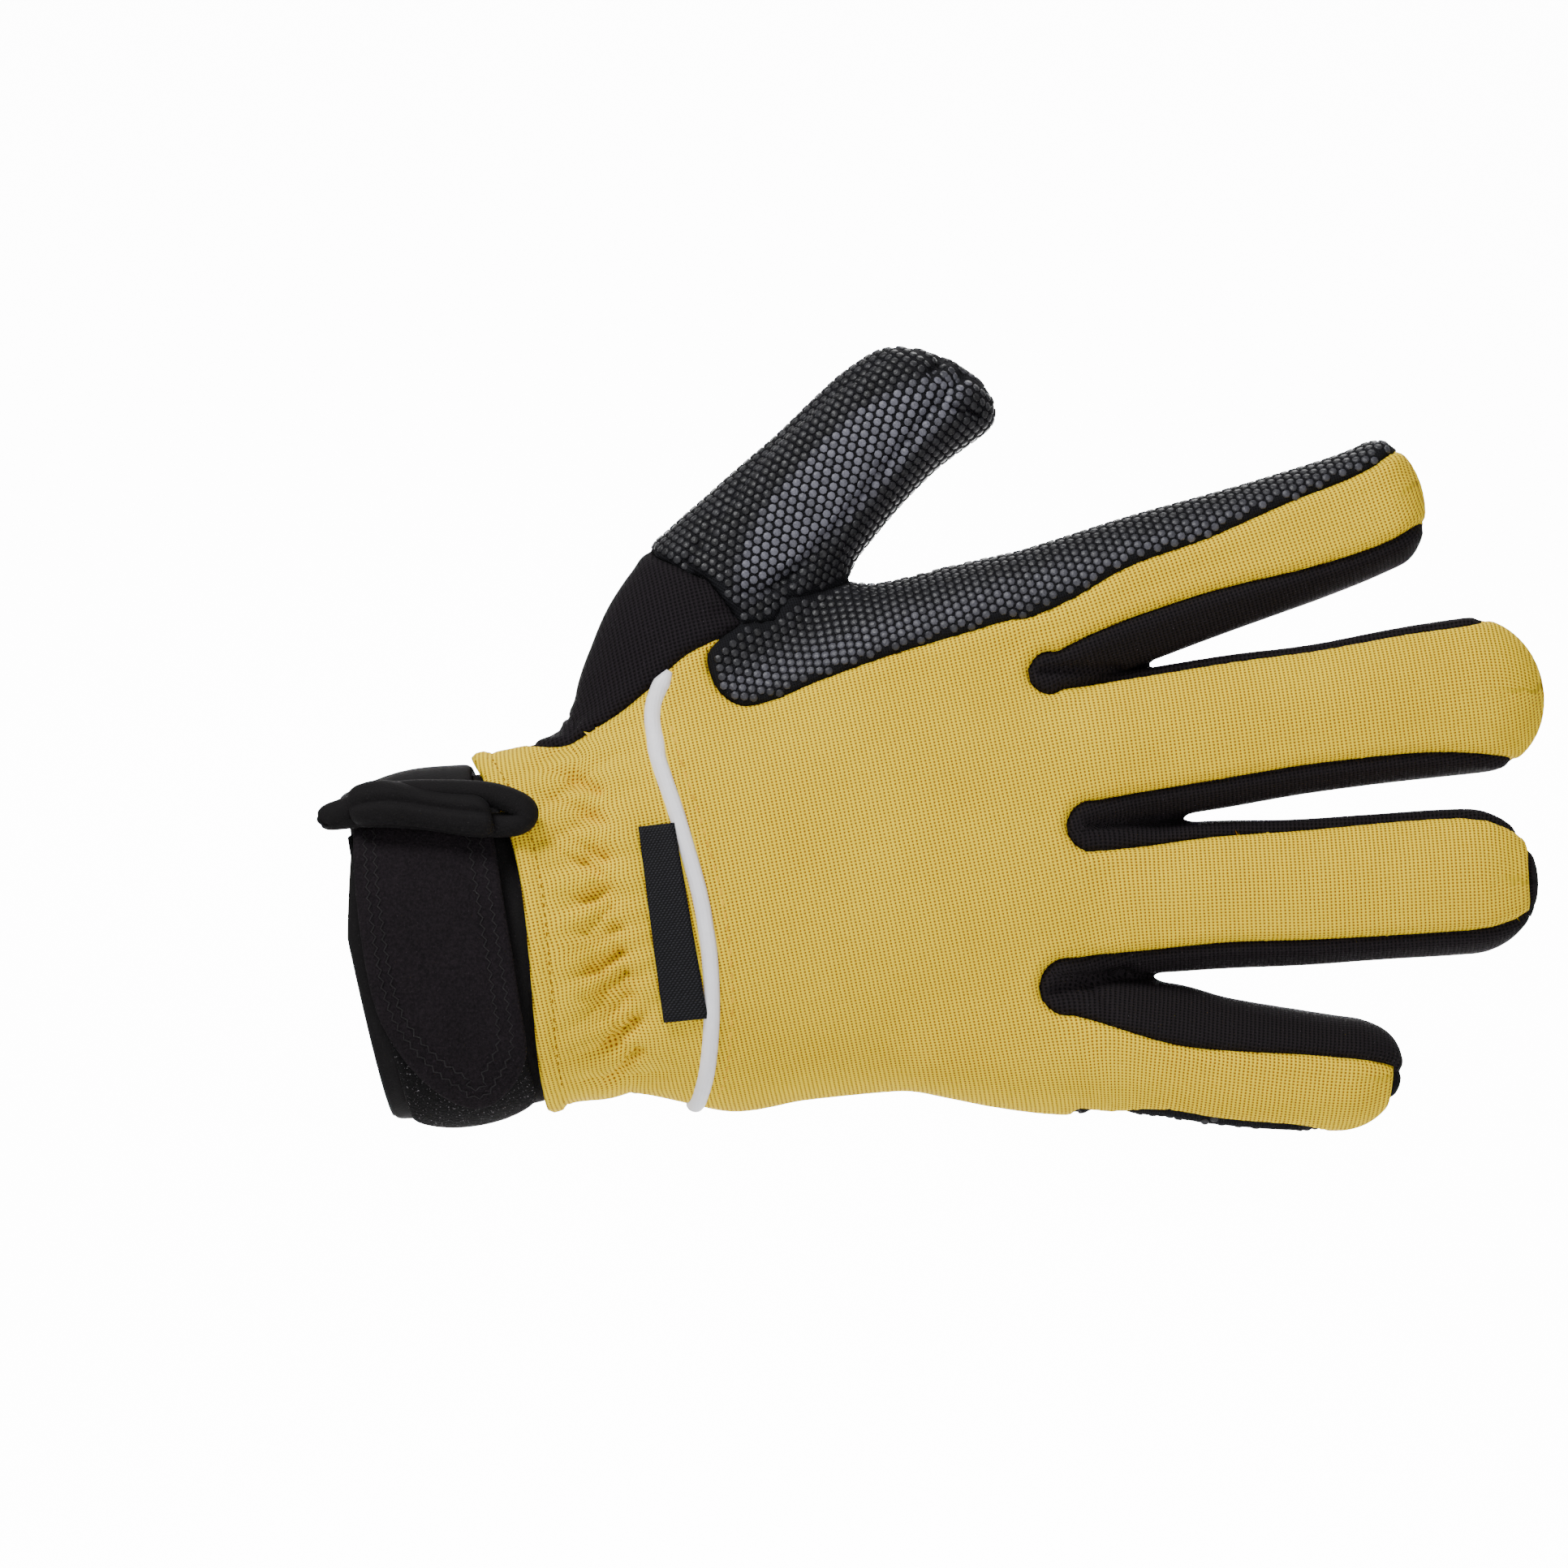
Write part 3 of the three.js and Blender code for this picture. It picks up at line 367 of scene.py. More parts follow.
@on_points
def wrist_field(along, across, depth):
    """How far ahead of the cord seam."""
    return along - along_of(piping_line, across)


@on_points
def thumb_field(along, across, depth):
    """Distance outside the thumb's seams."""
    outline = [(64, 91), *gusset_thumb[::-1], *rounded(thumb_web), (176, 135), (56, 135)]
    return outline_distance(along, across, outline)


@on_points
def gusset_field(along, across, depth):
    """Distance outside the gusset's seams, or past its seam on the palm side."""
    outline = [*rounded(gusset_back), *gusset_thumb, (64, 91), (16, 91), (16, 41)]
    return np.maximum(outline_distance(along, across, outline), depth - gusset_seam)


def widest_depth(along, across):
    """Depth of the line round the side where the form is widest: the hand's, then each finger's own."""
    palm_depth = hand_section(along, across)[2]
    reach, off = np.array([along_digit(finger, along, across) for finger in fingers]).transpose(1, 0, 2)
    depths = digit_section(fingers[0], reach)[2]
    own = np.take_along_axis(depths, np.abs(off).argmin(0)[None], 0)[0]
    return palm_depth + smooth(along, 125, 150) * (own - palm_depth)


@on_points
def back_field(along, across, depth):
    """Distance outside the yellow back: the hand's outline with the finger strips, less the round noses."""
    outline = [
        (16, -83), (16, 57), (64, 57), *rounded(patch_edge),
        (noses[0][0] + 4, 41), (noses[1][0] + 4.9, 0), (noses[2][0] + 5.5, -31.4), (128, -83),
    ]
    region = outline_distance(along, across, outline)
    for finger in fingers:
        region = np.minimum(region, outline_distance(along, across, strip_outline(finger)))
    for at, side, radius in noses:
        region = np.maximum(region, radius - np.hypot(along - at - radius, across - side))
    return np.maximum(region, depth - np.maximum(side_seam, widest_depth(along, across) + 0.8))


def between_field(number):
    """The strip between a finger and the next, ahead of its nose and above the palm's seam."""

    @on_points
    def field(along, across, depth):
        above = along_digit(fingers[number], along, across)[1]
        below = along_digit(fingers[number + 1], along, across)[1]
        ahead = noses[number][0] - along
        return np.maximum(np.maximum(ahead, depth - palm_seam), np.maximum(above, -below))

    return field


def cut(points, triangles, field, snap=0.35):
    """Moves points near a field's zero line onto it, then splits the triangles that it still crosses."""
    value = field(points)
    near = np.abs(value) < snap
    normal = unit(gradient(form_field, points[near]))
    slope = gradient(field, points[near], 0.05)
    slope -= (slope * normal).sum(-1, keepdims=True) * normal
    move = -(value[near] / np.maximum((slope ** 2).sum(-1), 0.3))[:, None] * slope
    points = points.copy()
    points[near] += move * np.minimum(1, 0.45 / np.maximum(np.linalg.norm(move, axis=-1), 1e-9))[:, None]
    value = field(points)
    value[near & (np.abs(value) < 0.1)] = 0
    corner = np.sign(value).astype(int)[triangles]
    crossed = corner * np.roll(corner, -1, 1) < 0
    edges = np.stack([triangles, np.roll(triangles, -1, 1)], -1)
    unique = np.unique(np.sort(edges[crossed], -1), axis=0)
    share = value[unique[:, 0]] / (value[unique[:, 0]] - value[unique[:, 1]])
    added = points[unique[:, 0]] + share[:, None] * (points[unique[:, 1]] - points[unique[:, 0]])
    codes = unique[:, 0] * len(points) + unique[:, 1]

    def middle(a, b):
        """Number of the point added on the edge from a to b."""
        return len(points) + np.searchsorted(codes, np.minimum(a, b) * len(points) + np.maximum(a, b))

    count = crossed.sum(1)
    parts = [triangles[count == 0]]
    for a in range(3):
        b, c = (a + 1) % 3, (a + 2) % 3
        lone, left, right = triangles[(count == 2) & crossed[:, a] & crossed[:, c]][:, [a, b, c]].T
        ab, ac = middle(lone, left), middle(lone, right)
        parts += [np.stack(t, -1) for t in ((lone, ab, ac), (ab, left, right), (ab, right, ac))]
        lone, left, right = triangles[(count == 1) & crossed[:, b]][:, [a, b, c]].T
        bc = middle(left, right)
        parts += [np.stack(t, -1) for t in ((lone, left, bc), (lone, bc, right))]
    return np.concatenate([points, added]), np.concatenate(parts)


between_fields = [between_field(number) for number in range(3)]
for seam in [hem_field, thumb_field, gusset_field, back_field, wrist_field, *between_fields]:
    points, triangles = cut(points, triangles, seam)
centre = points[triangles].mean(1)
in_thumb = thumb_field(centre) < 0
in_gusset = ~in_thumb & (gusset_field(centre) < 0)
in_back = ~in_thumb & ~in_gusset & (back_field(centre) < 0)
panel = np.full(len(triangles), "palm", dtype=object)
for number, field in enumerate(between_fields):
    panel[~in_thumb & ~in_gusset & ~in_back & (field(centre) < 0)] = f"side {number}"
panel[in_thumb] = "thumb"
panel[in_gusset] = "gusset"
panel[in_back] = "back"
panel[in_back & (wrist_field(centre) < 0)] = "wrist"
kept = hem_field(centre) > 0
used, corners = np.unique(triangles[kept], return_inverse=True)
points, triangles, panel = points[used], corners.reshape(-1, 3), panel[kept]

# Normals of the form, and every point's distance from the seams and from the hem.
normals = unit(gradient(form_field, points))
along, across, depth = unplace(points)
facing = smooth(-normals[:, 1], -0.2, 0.5)
edge_list = np.sort(np.concatenate([triangles[:, [i, (i + 1) % 3]] for i in range(3)]), -1)
names = np.concatenate([np.where(np.char.startswith(panel.astype(str), "side"), "side", panel)] * 3)
order = np.lexsort((edge_list[:, 1], edge_list[:, 0]))
edge_list, names = edge_list[order], names[order]
on_seam = np.unique(edge_list[1:][(edge_list[1:] == edge_list[:-1]).all(1) & (names[1:] != names[:-1])])
tree = KDTree(len(on_seam))
for i, p in enumerate(points[on_seam]):
    tree.insert(p, i)
tree.balance()
from_seam = np.array([tree.find(p)[2] for p in points])
from_hem = np.maximum(hem_field(points), 0)


def waves(x, y, seed, count=5, reach=1.0):
    """A sum of sine waves in turned directions: a smooth, repeatable unevenness of about plus or minus 1."""
    spin = np.random.default_rng(seed)
    total = 0
    for _ in range(count):
        turn = spin.uniform(0, np.pi)
        size = spin.uniform(0.6, 1.6) / reach
        phase = spin.uniform(0, 2 * np.pi)
        total = total + np.sin(size * (x * np.cos(turn) + y * np.sin(turn)) + phase)
    return total / np.sqrt(count)


def crease(line, width, deepest, start=1.0, power=2.0):
    """A dent along a line: depth times exp(-(distance / width) ** power), shallower where it starts."""
    nearest, share, _ = to_line(along, across, rounded(line))
    return -deepest * (start + (1 - start) * share) * np.exp(-(nearest / width) ** power)


def bell(x, width, power=2):
    """exp(-(|x| / width) ** power): 1 at x = 0, falling away on both sides."""
    return np.exp(-(np.abs(x) / width) ** power)


# The cloth swells beside each seam and dives into it; seams that lie round the side are drawn less deep.
shallow = 1 - 0.65 * smooth(depth, 0.5, 3.5)
shallow *= 1 - 0.8 * bell(along - 105, 9) * bell(across - 56, 8)
lift = 0.3 * bell(from_seam - 2.4, 1.7) - 0.85 * shallow * bell(from_seam, 0.8)
plain = lift.copy()

# Elastic gathers the wrist: puffs with sharp valleys run across it, and a scalloped line joins their ends.
puff_pitch = 6.9
from_elastic = along - along_of(elastic, across)
sway = 0.28 * waves(along, across, 3, reach=8) + 0.045 * from_elastic * np.sin(across / 7 + 0.6)
swell = np.abs(np.sin(np.pi * (across / puff_pitch + sway)))
spread = np.where(from_elastic < 0, 9 + 3 * waves(across, 0 * across, 6, reach=9), 10)
fade = bell(from_elastic, spread) * smooth(wrist_field(points), 1, -6) * smooth(across, 44, 34)
puffs = 1.5 * (swell ** 0.7 - 0.7) + 0.5 * waves(along, across, 11, reach=3.2)
lift += fade * puffs * smooth(from_hem, 2, 6)
scallop = bell(from_elastic - 2.6 * swell + 1.2, 0.95, 1.4)
lift -= 1.15 * scallop * smooth(from_seam, 0, 3) * (0.7 + 0.3 * waves(across, along, 9, reach=3))
pinches = [
    [(42, 33.5), (48.4, 31), (53, 26.5)], [(41, 29), (47, 25.5), (52.5, 20.5)],
    [(39.5, 21.5), (44, 16.5), (50, 10.5)], [(43, 19.5), (47.5, 17), (51.5, 13.5)],
    [(39.5, 5.2), (45.5, 5.6), (50.6, 7.4)], [(42.5, 0.8), (47, 1.6), (51, 4)],
    [(40, -3.4), (45.7, -2.9), (51, -0.8)], [(42, -8), (46, -7.8), (50.3, -5.4)],
    [(39.6, -13), (45.5, -12.2), (50.6, -9.6)], [(41.6, -18.4), (45.6, -17.4), (50, -14.4)],
    [(40, -24.2), (45.4, -23), (50.2, -19.6)], [(41.6, -30), (45, -28.6), (49.6, -25.4)],
]
for number, line in enumerate(pinches):
    width, deepest = 1 + 0.2 * np.sin(2.2 * number), 2.6 + 0.6 * np.cos(1.7 * number)
    lift += crease(line, width, deepest, 0.15, 1.3) * facing
loose = smooth(along, 30, 36) * (1 - smooth(along, 54, 66)) * smooth(from_seam, 0, 4)
lift += 0.55 * waves(along, across, 5, reach=6) * loose
# Painted shade: how deep each point lies in the folds and pinches of the gathers, which darkens the knit's
# colour there.
fold_shade = smooth(plain - lift, 0.4, 2.8)

# The hem is a folded edge, stitched down a little way in from its rim.
hem_width = 3.6
at_cuff = along < 45
lift += 0.7 * smooth(from_hem, 0, 0.8) * (1 - smooth(from_hem, hem_width - 0.7, hem_width + 0.5)) * at_cuff
lift -= 0.35 * bell(from_hem - hem_width, 0.6) * at_cuff

# Slack cloth over the back and the digits.
lift += 0.22 * waves(along, across, 21, reach=15) * smooth(along, 66, 80) * facing
lift += 0.12 * waves(along, across, 22, reach=6) * smooth(along, 66, 80)

# The thumb's own seams, the folds where it joins the hand and at its tip, and the dents at the three noses:
# each a line, its width and its depth. The raised ridge after them is the bright oval on the thumb's ball.
for line, width, deepest in (
    ([(89.3, 58.3), (97, 58.9), (108, 65.8), (118, 73.3), (132, 84.6), (141, 91.5)], 1.3, 1.3),
    ([(79, 66.5), (90, 76.5), (100, 85.5), (112, 92.5), (126, 98)], 1.2, 0.8),
    ([(79.3, 67), (82, 61.5)], 0.9, 0.8),
    ([(83.5, 55.4), (90, 54.8), (97.3, 59.9)], 1.4, 0.9),
    ([(92, 53.5), (97, 56.5), (100, 60.5)], 1.1, 0.7),
    ([(139.5, 97.2), (137.5, 95.3), (135, 93.4)], 0.9, 1.3),
    ([(142.8, 83), (140.5, 84.2), (138, 85.4)], 0.9, 1.3),
    ([(143, 30.4), (150, 29.4), (158, 28)], 0.9, 1.1),
    ([(146, -1.2), (152, -2), (159, -3.4)], 0.9, 1.1),
    ([(131.5, -31.6), (139, -31.6), (147, -30.8)], 1.0, 1.2),
    ([(139, -31.6), (141, -34.5), (142, -39)], 0.9, 0.6),
    ([(86, 70), (97, 80), (112, 90), (126, 97)], 2.6, -0.5),
):
    lift += crease(line, width, deepest) * facing
base_points = points
points = points + lift[:, None] * normals

# The yellow back: one piece of ribbed yellow knit over the backs of the hand and of the four fingers.
# It is cut round the ends of the finger strips and the grip patch, and sewn to the black pieces all round.
fall_share = 0.57


def arc(off, down):
    """Length over the cloth from the crown: distance off the middle plus a share of the fall."""
    return off + np.sign(off) * fall_share * np.maximum(down, 0)


def lie(points, palm_side=False):
    """Weave coordinates in millimetres: the hand's own, turned into each finger's beyond its knuckle."""
    along, across, depth = unplace(points)
    middle, w, deep, h = hand_section(along, across)
    down = deep + h - depth if palm_side else depth - (deep - h)
    u, v = along.copy(), arc(across - middle, np.minimum(down, h)) + middle
    finger_now = np.stack([np.abs(along_digit(digit, along, across)[1]) for digit in fingers]).argmin(0)
    for number, (digit, knuckle) in enumerate(zip(fingers, (148, 148, 148, 138))):
        reach, off = along_digit(digit, along, across)
        at = (knuckle - digit["root"][0]) / (digit["length"] * digit["ahead"][0])
        anchor = digit_line(digit, np.array([at]))[0]
        _, half, own = digit_section(digit, reach)
        fall = own + half - depth if palm_side else depth - own + half
        mine = (finger_now == number) * smooth(along, knuckle - 11, knuckle + 11)
        u += mine * (anchor[0] + (reach - at) * digit["length"] - u)
        v += mine * (anchor[1] + arc(off, np.minimum(fall, half)) - v)
    return np.stack([u, v], -1)


def mesh_object(name, points, faces, material):
    """One smooth mesh object from millimetre points and a list of faces."""
    mesh = bpy.data.meshes.new(name)
    mesh.from_pydata((points * mm).tolist(), [], faces)
    mesh.validate()
    mesh.polygons.foreach_set("use_smooth", np.ones(len(mesh.polygons), bool))
    mesh.materials.append(material)
    thing = bpy.data.objects.new(name, mesh)
    bpy.context.scene.collection.objects.link(thing)
    return thing


def piece(name, points, faces, material, node=None, weave=None, shades=None):
    """A mesh object that rides on the glove's body and takes the place of its CAD node, where it has one.
    Its weave coordinates are its UV map, and its shades are attributes."""
    thing = mesh_object(name, points, faces if isinstance(faces, list) else faces.tolist(), material)
    mesh = thing.data
    if weave is not None:
        corner = np.zeros(len(mesh.loops), int)
        mesh.loops.foreach_get("vertex_index", corner)
        layer = mesh.uv_layers.new(name="weave")
        layer.data.foreach_set("uv", np.asarray(weave, float)[corner].ravel())
    for key, values in (shades or {}).items():
        layer = mesh.attributes.new(key, "FLOAT", "POINT")
        layer.data.foreach_set("value", np.asarray(values, float))
    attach(thing, "root")
    if node:
        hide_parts(node)
    return thing


def panel_piece(name, panel_name, material, node, weave_of):
    """A cloth panel cut from the shell, with its thickness turned inwards."""
    faces = triangles[panel == panel_name]
    used, corners = np.unique(faces, return_inverse=True)
    weave = weave_of(base_points[used])
    faces = corners.reshape(-1, 3)
    # Each panel carries the painted fold shade as an attribute.
    thing = piece(name, points[used], faces, material, node, weave, {"fold_shade": fold_shade[used]})
    skin = thing.modifiers.new("Cloth", "SOLIDIFY")
    skin.thickness = 1.1 * mm
    skin.offset = -1


class Socket:
    """A shader socket in arithmetic: each operator adds a Math node to the material it belongs to."""

    def __init__(self, cloth, output):
        self.cloth, self.output = cloth, output

    def math(self, operation, *others, clamp=False):
        return self.cloth.node("ShaderNodeMath", {"operation": operation, "use_clamp": clamp}, self, *others)

    def __add__(self, other):
        return self.math("ADD", other)

    def __sub__(self, other):
        return self.math("SUBTRACT", other)

    def __mul__(self, other):
        return self.math("MULTIPLY", other)

    def __truediv__(self, other):
        return self.math("DIVIDE", other)

    def __rsub__(self, other):
        return (self * -1) + other

    __radd__, __rmul__ = __add__, __mul__

    def wave(self):
        """0 to 1 and back, once for each whole number."""
        return (self * (2 * np.pi)).math("SINE") * 0.5 + 0.5

    def step(self, low, high):
        settings, span = {"interpolation_type": "SMOOTHSTEP"}, {"From Min": low, "From Max": high}
        return self.cloth.node("ShaderNodeMapRange", settings, Value=self, **span)


class Cloth:
    """A material under construction."""

    def __init__(self, name):
        self.material = bpy.data.materials.new(name)
        self.material.use_nodes = True
        self.tree = self.material.node_tree
        self.shader = self.tree.nodes["Principled BSDF"]

    def node(self, kind, settings=None, *order, output=0, **inputs):
        """Any other node: its type, its settings, then the values or links of its sockets."""
        made = self.tree.nodes.new(kind)
        for key, value in (settings or {}).items():
            setattr(made, key, value)
        for key, value in [*enumerate(order), *inputs.items()]:
            self.put(made.inputs[key], value)
        return Socket(self, made.outputs[output])

    def put(self, target, value):
        """Links a socket to the target, or sets the target's value."""
        if isinstance(value, Socket):
            self.tree.links.new(value.output, target)
        else:
            target.default_value = value

    def set(self, **values):
        for key, value in values.items():
            self.put(self.shader.inputs[key.replace("_", " ")], value)
        return self.material

    def split(self, vector):
        """The three parts of a vector."""
        parts = self.node("ShaderNodeSeparateXYZ", None, vector).output.node.outputs
        return [Socket(self, part) for part in parts]

    def weave(self):
        return self.split(self.node("ShaderNodeUVMap", {"uv_map": "weave"}))[:2]

    def place(self):
        return self.node("ShaderNodeTexCoord", None, output=3)

    def attribute(self, name):
        return self.node("ShaderNodeAttribute", {"attribute_name": name}, output=2)

    def noise(self, scale, detail=2):
        return self.node("ShaderNodeTexNoise", None, Vector=self.place(), Scale=scale, Detail=detail)

    def mix(self, share, first, second):
        made = self.tree.nodes.new("ShaderNodeMix")
        made.data_type = "RGBA"
        self.put(made.inputs[0], share)
        self.put(made.inputs[6], (*first, 1))
        self.put(made.inputs[7], (*second, 1))
        return Socket(self, made.outputs[2])

    def bump(self, height, relief):
        return self.node("ShaderNodeBump", None, Height=height, Distance=relief * mm, Strength=1.0)

    def finish(self, share, first, second, height, relief, rough, gloss):
        """Colour from first to second by a share, relief in millimetres, roughness and specular level."""
        colour, normal = self.mix(share, first, second), self.bump(height, relief)
        return self.set(Base_Color=colour, Normal=normal, Roughness=rough, Specular_IOR_Level=gloss)


def knit(name, light, dark, rib, stitch, rough, relief):
    """Knitted cloth: round ribs and a pit between two ribs at every stitch, in relief. Its colour goes
    towards the dark one as painted shade in the rib valleys, the pits, the stitch rows and the folds of the
    gathers, with noise patches as a random tone.
    """
    cloth = Cloth(name)
    u, v = cloth.weave()
    drift = cloth.noise(420) - 0.5
    valley = (((u / rib + drift * 0.2).math("FRACT") - 0.5).math("ABSOLUTE") * 2).step(0.3, 0.95)
    knot = (v / stitch + drift * 0.25 + 0.25).wave().step(0.15, 0.85)
    pit = valley * knot
    height = 1 - valley * 0.45 - pit * 0.5 - knot * 0.2
    patches = cloth.noise(55) - 0.5
    # Painted shade: the colour goes towards the dark one in the rib valleys, the stitch pits, the stitch
    # rows and the folds of the gathers; the noise patches are a random tone.
    painted_light_and_tone = valley * 0.16 + pit * 0.95 + knot * 0.1 + patches * 0.25 + cloth.attribute("fold_shade") * 0.16
    share = painted_light_and_tone.math("ADD", 0.0, clamp=True)
    return cloth.finish(share, light, dark, height + cloth.noise(2600, 3) * 0.15, relief, rough, 0.15)


# The dark colour is the painted shade of the knit's recesses and folds.
yellow = knit("Yellow rib knit", (1.0, 0.71, 0.004), (0.36, 0.13, 0.0), 0.84, 0.66, 0.85, 0.26)
panel_piece("knitted_back", "back", yellow, "back_panel", lie)

# The gathered wrist: the same yellow knit, from the cord seam to the cuff, with its edge folded under.
# A line of elastic sewn inside draws it in, and a row of stitches holds the hem; their dark colour is
# painted shade of the stitch holes.


def lie_gathered(points):
    """The hand's weave coordinates, with the ribs drawn to and fro where the elastic gathers them."""
    along, across, depth = unplace(points)
    drawn = 0.6 * np.sin(across * 2 * np.pi / puff_pitch + 0.8 * waves(along, across, 3, reach=8))
    weave = lie(points)
    drawn += 0.5 * waves(along, across, 14, reach=7)
    weave[:, 0] += drawn * bell(along - along_of(elastic, across), 6.5)
    return weave


panel_piece("gathered_wrist", "wrist", yellow, "wrist_gather", lie_gathered)
surface = BVHTree.FromPolygons([Vector(p) for p in points], triangles.tolist())


def front(x, z):
    """Points on the back of the glove at frame x and z, and the normals there."""
    found = []
    for a, b in np.broadcast(x, z):
        hit = surface.ray_cast(Vector((a, -80, b)), Vector((0, 1, 0)))
        found.append(hit[:2] if hit[0] else surface.find_nearest(Vector((a, 0, b)))[:2])
    found = np.array(found)
    return found[:, 0], found[:, 1]


def line_on_back(line, shift, low, high, count=160):
    """Points and normals on the back of the glove along a line that crosses it, shifted along the hand."""
    sideways = np.linspace(low, high, count)
    flat = place(along_of(line, sideways) + shift, sideways, 0)
    return front(flat[:, 0], flat[:, 2])


def skin(rows, columns, joined=False):
    """Quads between a grid's rings of points, each ring closed; joined, the last ring meets the first."""
    grid = np.arange(rows * columns).reshape(rows, columns)
    after = np.roll(grid, -1, 1)
    quads = np.stack([grid, after, np.roll(after, -1, 0), np.roll(grid, -1, 0)], -1)
    return quads[:rows - 1 + joined].reshape(-1, 4)


def ovals(middle, beside, up, sides, wide, high):
    """A ring of points about each middle: wide cos t to the side plus high sin t up."""
    turn = 2 * np.pi * np.arange(sides)[:, None] / sides
    wide, high = (np.broadcast_to(size, len(middle))[:, None, None] for size in (wide, high))
    return middle[:, None] + wide * np.cos(turn) * beside[:, None] + high * np.sin(turn) * up[:, None]


def run_of(path):
    """Length along a path up to each of its points."""
    return np.concatenate([[0], np.cumsum(np.linalg.norm(np.diff(path, axis=0), axis=-1))])


def taken_at(at, path, outward):
    """A path and its outward directions, taken at lengths along it."""
    run = run_of(path)
    return [np.stack([np.interp(at, run, column) for column in part.T], -1) for part in (path, outward)]


def dashes(name, path, outward, length, pitch, radius, material):
    """Stitches along a path: small rods with tapered ends, a pitch apart, all in one mesh."""
    centres = np.arange(pitch / 2, run_of(path)[-1] - pitch / 2, pitch)
    rings = []
    for shift, size in ((-0.5, 0.3), (-0.3, 1), (0.3, 1), (0.5, 0.3)):
        middle, up = taken_at(centres + shift * length, path, outward)
        beside = np.cross(unit(np.gradient(middle, axis=0)), up)
        rings.append(ovals(middle, beside, up, 6, radius * size, radius * size))
    ends = np.array([[0, 5, 4, 3], [0, 3, 2, 1], [18, 19, 20, 21], [18, 21, 22, 23]])
    faces = np.concatenate([skin(4, 6), ends])[None] + 24 * np.arange(len(centres))[:, None, None]
    piece(name, np.stack(rings, 1).reshape(-1, 3), faces.reshape(-1, 4), material)


def thread(name, colour):
    """Spun sewing thread."""
    cloth = Cloth(name)
    normal = cloth.bump(cloth.noise(3000), 0.05)
    return cloth.set(Base_Color=(*colour, 1), Roughness=0.8, Normal=normal, Specular_IOR_Level=0.15)


on_hem, up = line_on_back(hem_line, 3.9, -29, 37.5)
# The stitches are real; their dark brownish orange is painted shade of the stitch holes.
dashes("hem_stitches", on_hem - 0.05 * up, up, 0.9, 1.9, 0.2, thread("Hem thread", (0.3, 0.15, 0.003)))

# The grip palm: black cloth printed with raised rubber dots, one piece for the palm and the finger fronts.
# It turns up round the index finger's outer side, where the dots facing the front carry a painted highlight,
# and is sewn to the yellow back.
dot_pitch, dot_radius, dot_height = 2.0, 0.87, 0.3
fine_rings, plain_rings = [(1.0, -0.3), (0.95, 0.55), (0.76, 0.94)], [(1.0, -0.3), (0.86, 0.8)]


def lie_grip(points):
    """Weave coordinates of the grip cloth, measured from the index finger's edge, which it turns round."""
    along, across, depth = unplace(points)
    middle, w, deep, h = hand_section(along, across)
    index = digits["index"]
    reach, off = along_digit(index, along, across)
    half_wide, half_deep, own = digit_section(index, reach)
    share = smooth(along, 112, 148)
    w_now = w + share * (half_wide - w)
    h_now = h + share * (half_deep - h)
    off_now = across - middle + share * (off - across + middle)
    d_now = depth - deep + share * (deep - own)
    to_edge = w_now - off_now + fall_share * h_now
    over = to_edge - fall_share * np.clip(d_now + h_now, 0, h_now)
    under = fall_share * np.sign(off_now) * np.clip(h_now - d_now, 0, h_now) - to_edge
    palm = lie(points, palm_side=True)
    near_index = smooth(off_now, -w_now * 0.9, -w_now * 0.2)
    palm_v = palm[:, 1] - w - fall_share * h - middle
    under = palm_v + near_index * (under - palm_v)
    u = along + share * (index["root"][0] + reach * index["length"] - along)
    u = palm[:, 0] + near_index * (u - palm[:, 0])
    return np.stack([u, np.where(d_now < 0, over, under)], -1)


def lattice_points(panel_name, weave):
    """Points and normals where a hexagonal lattice in weave coordinates falls on a panel's triangles."""
    faces = triangles[panel == panel_name]
    a, b, c = weave[faces].transpose(1, 0, 2)
    middle = weave[faces].mean(1)
    row = dot_pitch * np.sqrt(3) / 2
    best, spot = np.full(len(faces), np.inf), np.zeros((len(faces), 2))
    for shift in (0, 1):
        j = 2 * np.round((middle[:, 0] / row - shift) / 2) + shift
        i = np.round(middle[:, 1] / dot_pitch - 0.5 * shift)
        candidate = np.stack([j * row, (i + 0.5 * shift) * dot_pitch], -1)
        away = np.hypot(*(candidate - middle).T)
        spot = np.where((away < best)[:, None], candidate, spot)
        best = np.minimum(best, away)

    def turned(first, second):
        """Cross product of flat vectors."""
        return first[:, 0] * second[:, 1] - first[:, 1] * second[:, 0]

    area = turned(b - a, c - a)
    area = np.where(np.abs(area) < 1e-9, 1e-9, area)
    second = turned(spot - a, c - a) / area
    third = turned(b - a, spot - a) / area
    inside = (second >= 0) & (third >= 0) & (second + third < 1) & (np.abs(area) < 4)
    inside &= from_seam[faces].min(1) > 0.15
    shares = np.stack([1 - second - third, second, third], -1)[inside]
    corner = points[faces[inside]]
    flat = np.cross(corner[:, 1] - corner[:, 0], corner[:, 2] - corner[:, 0])
    return (shares[..., None] * corner).sum(1), unit(flat)


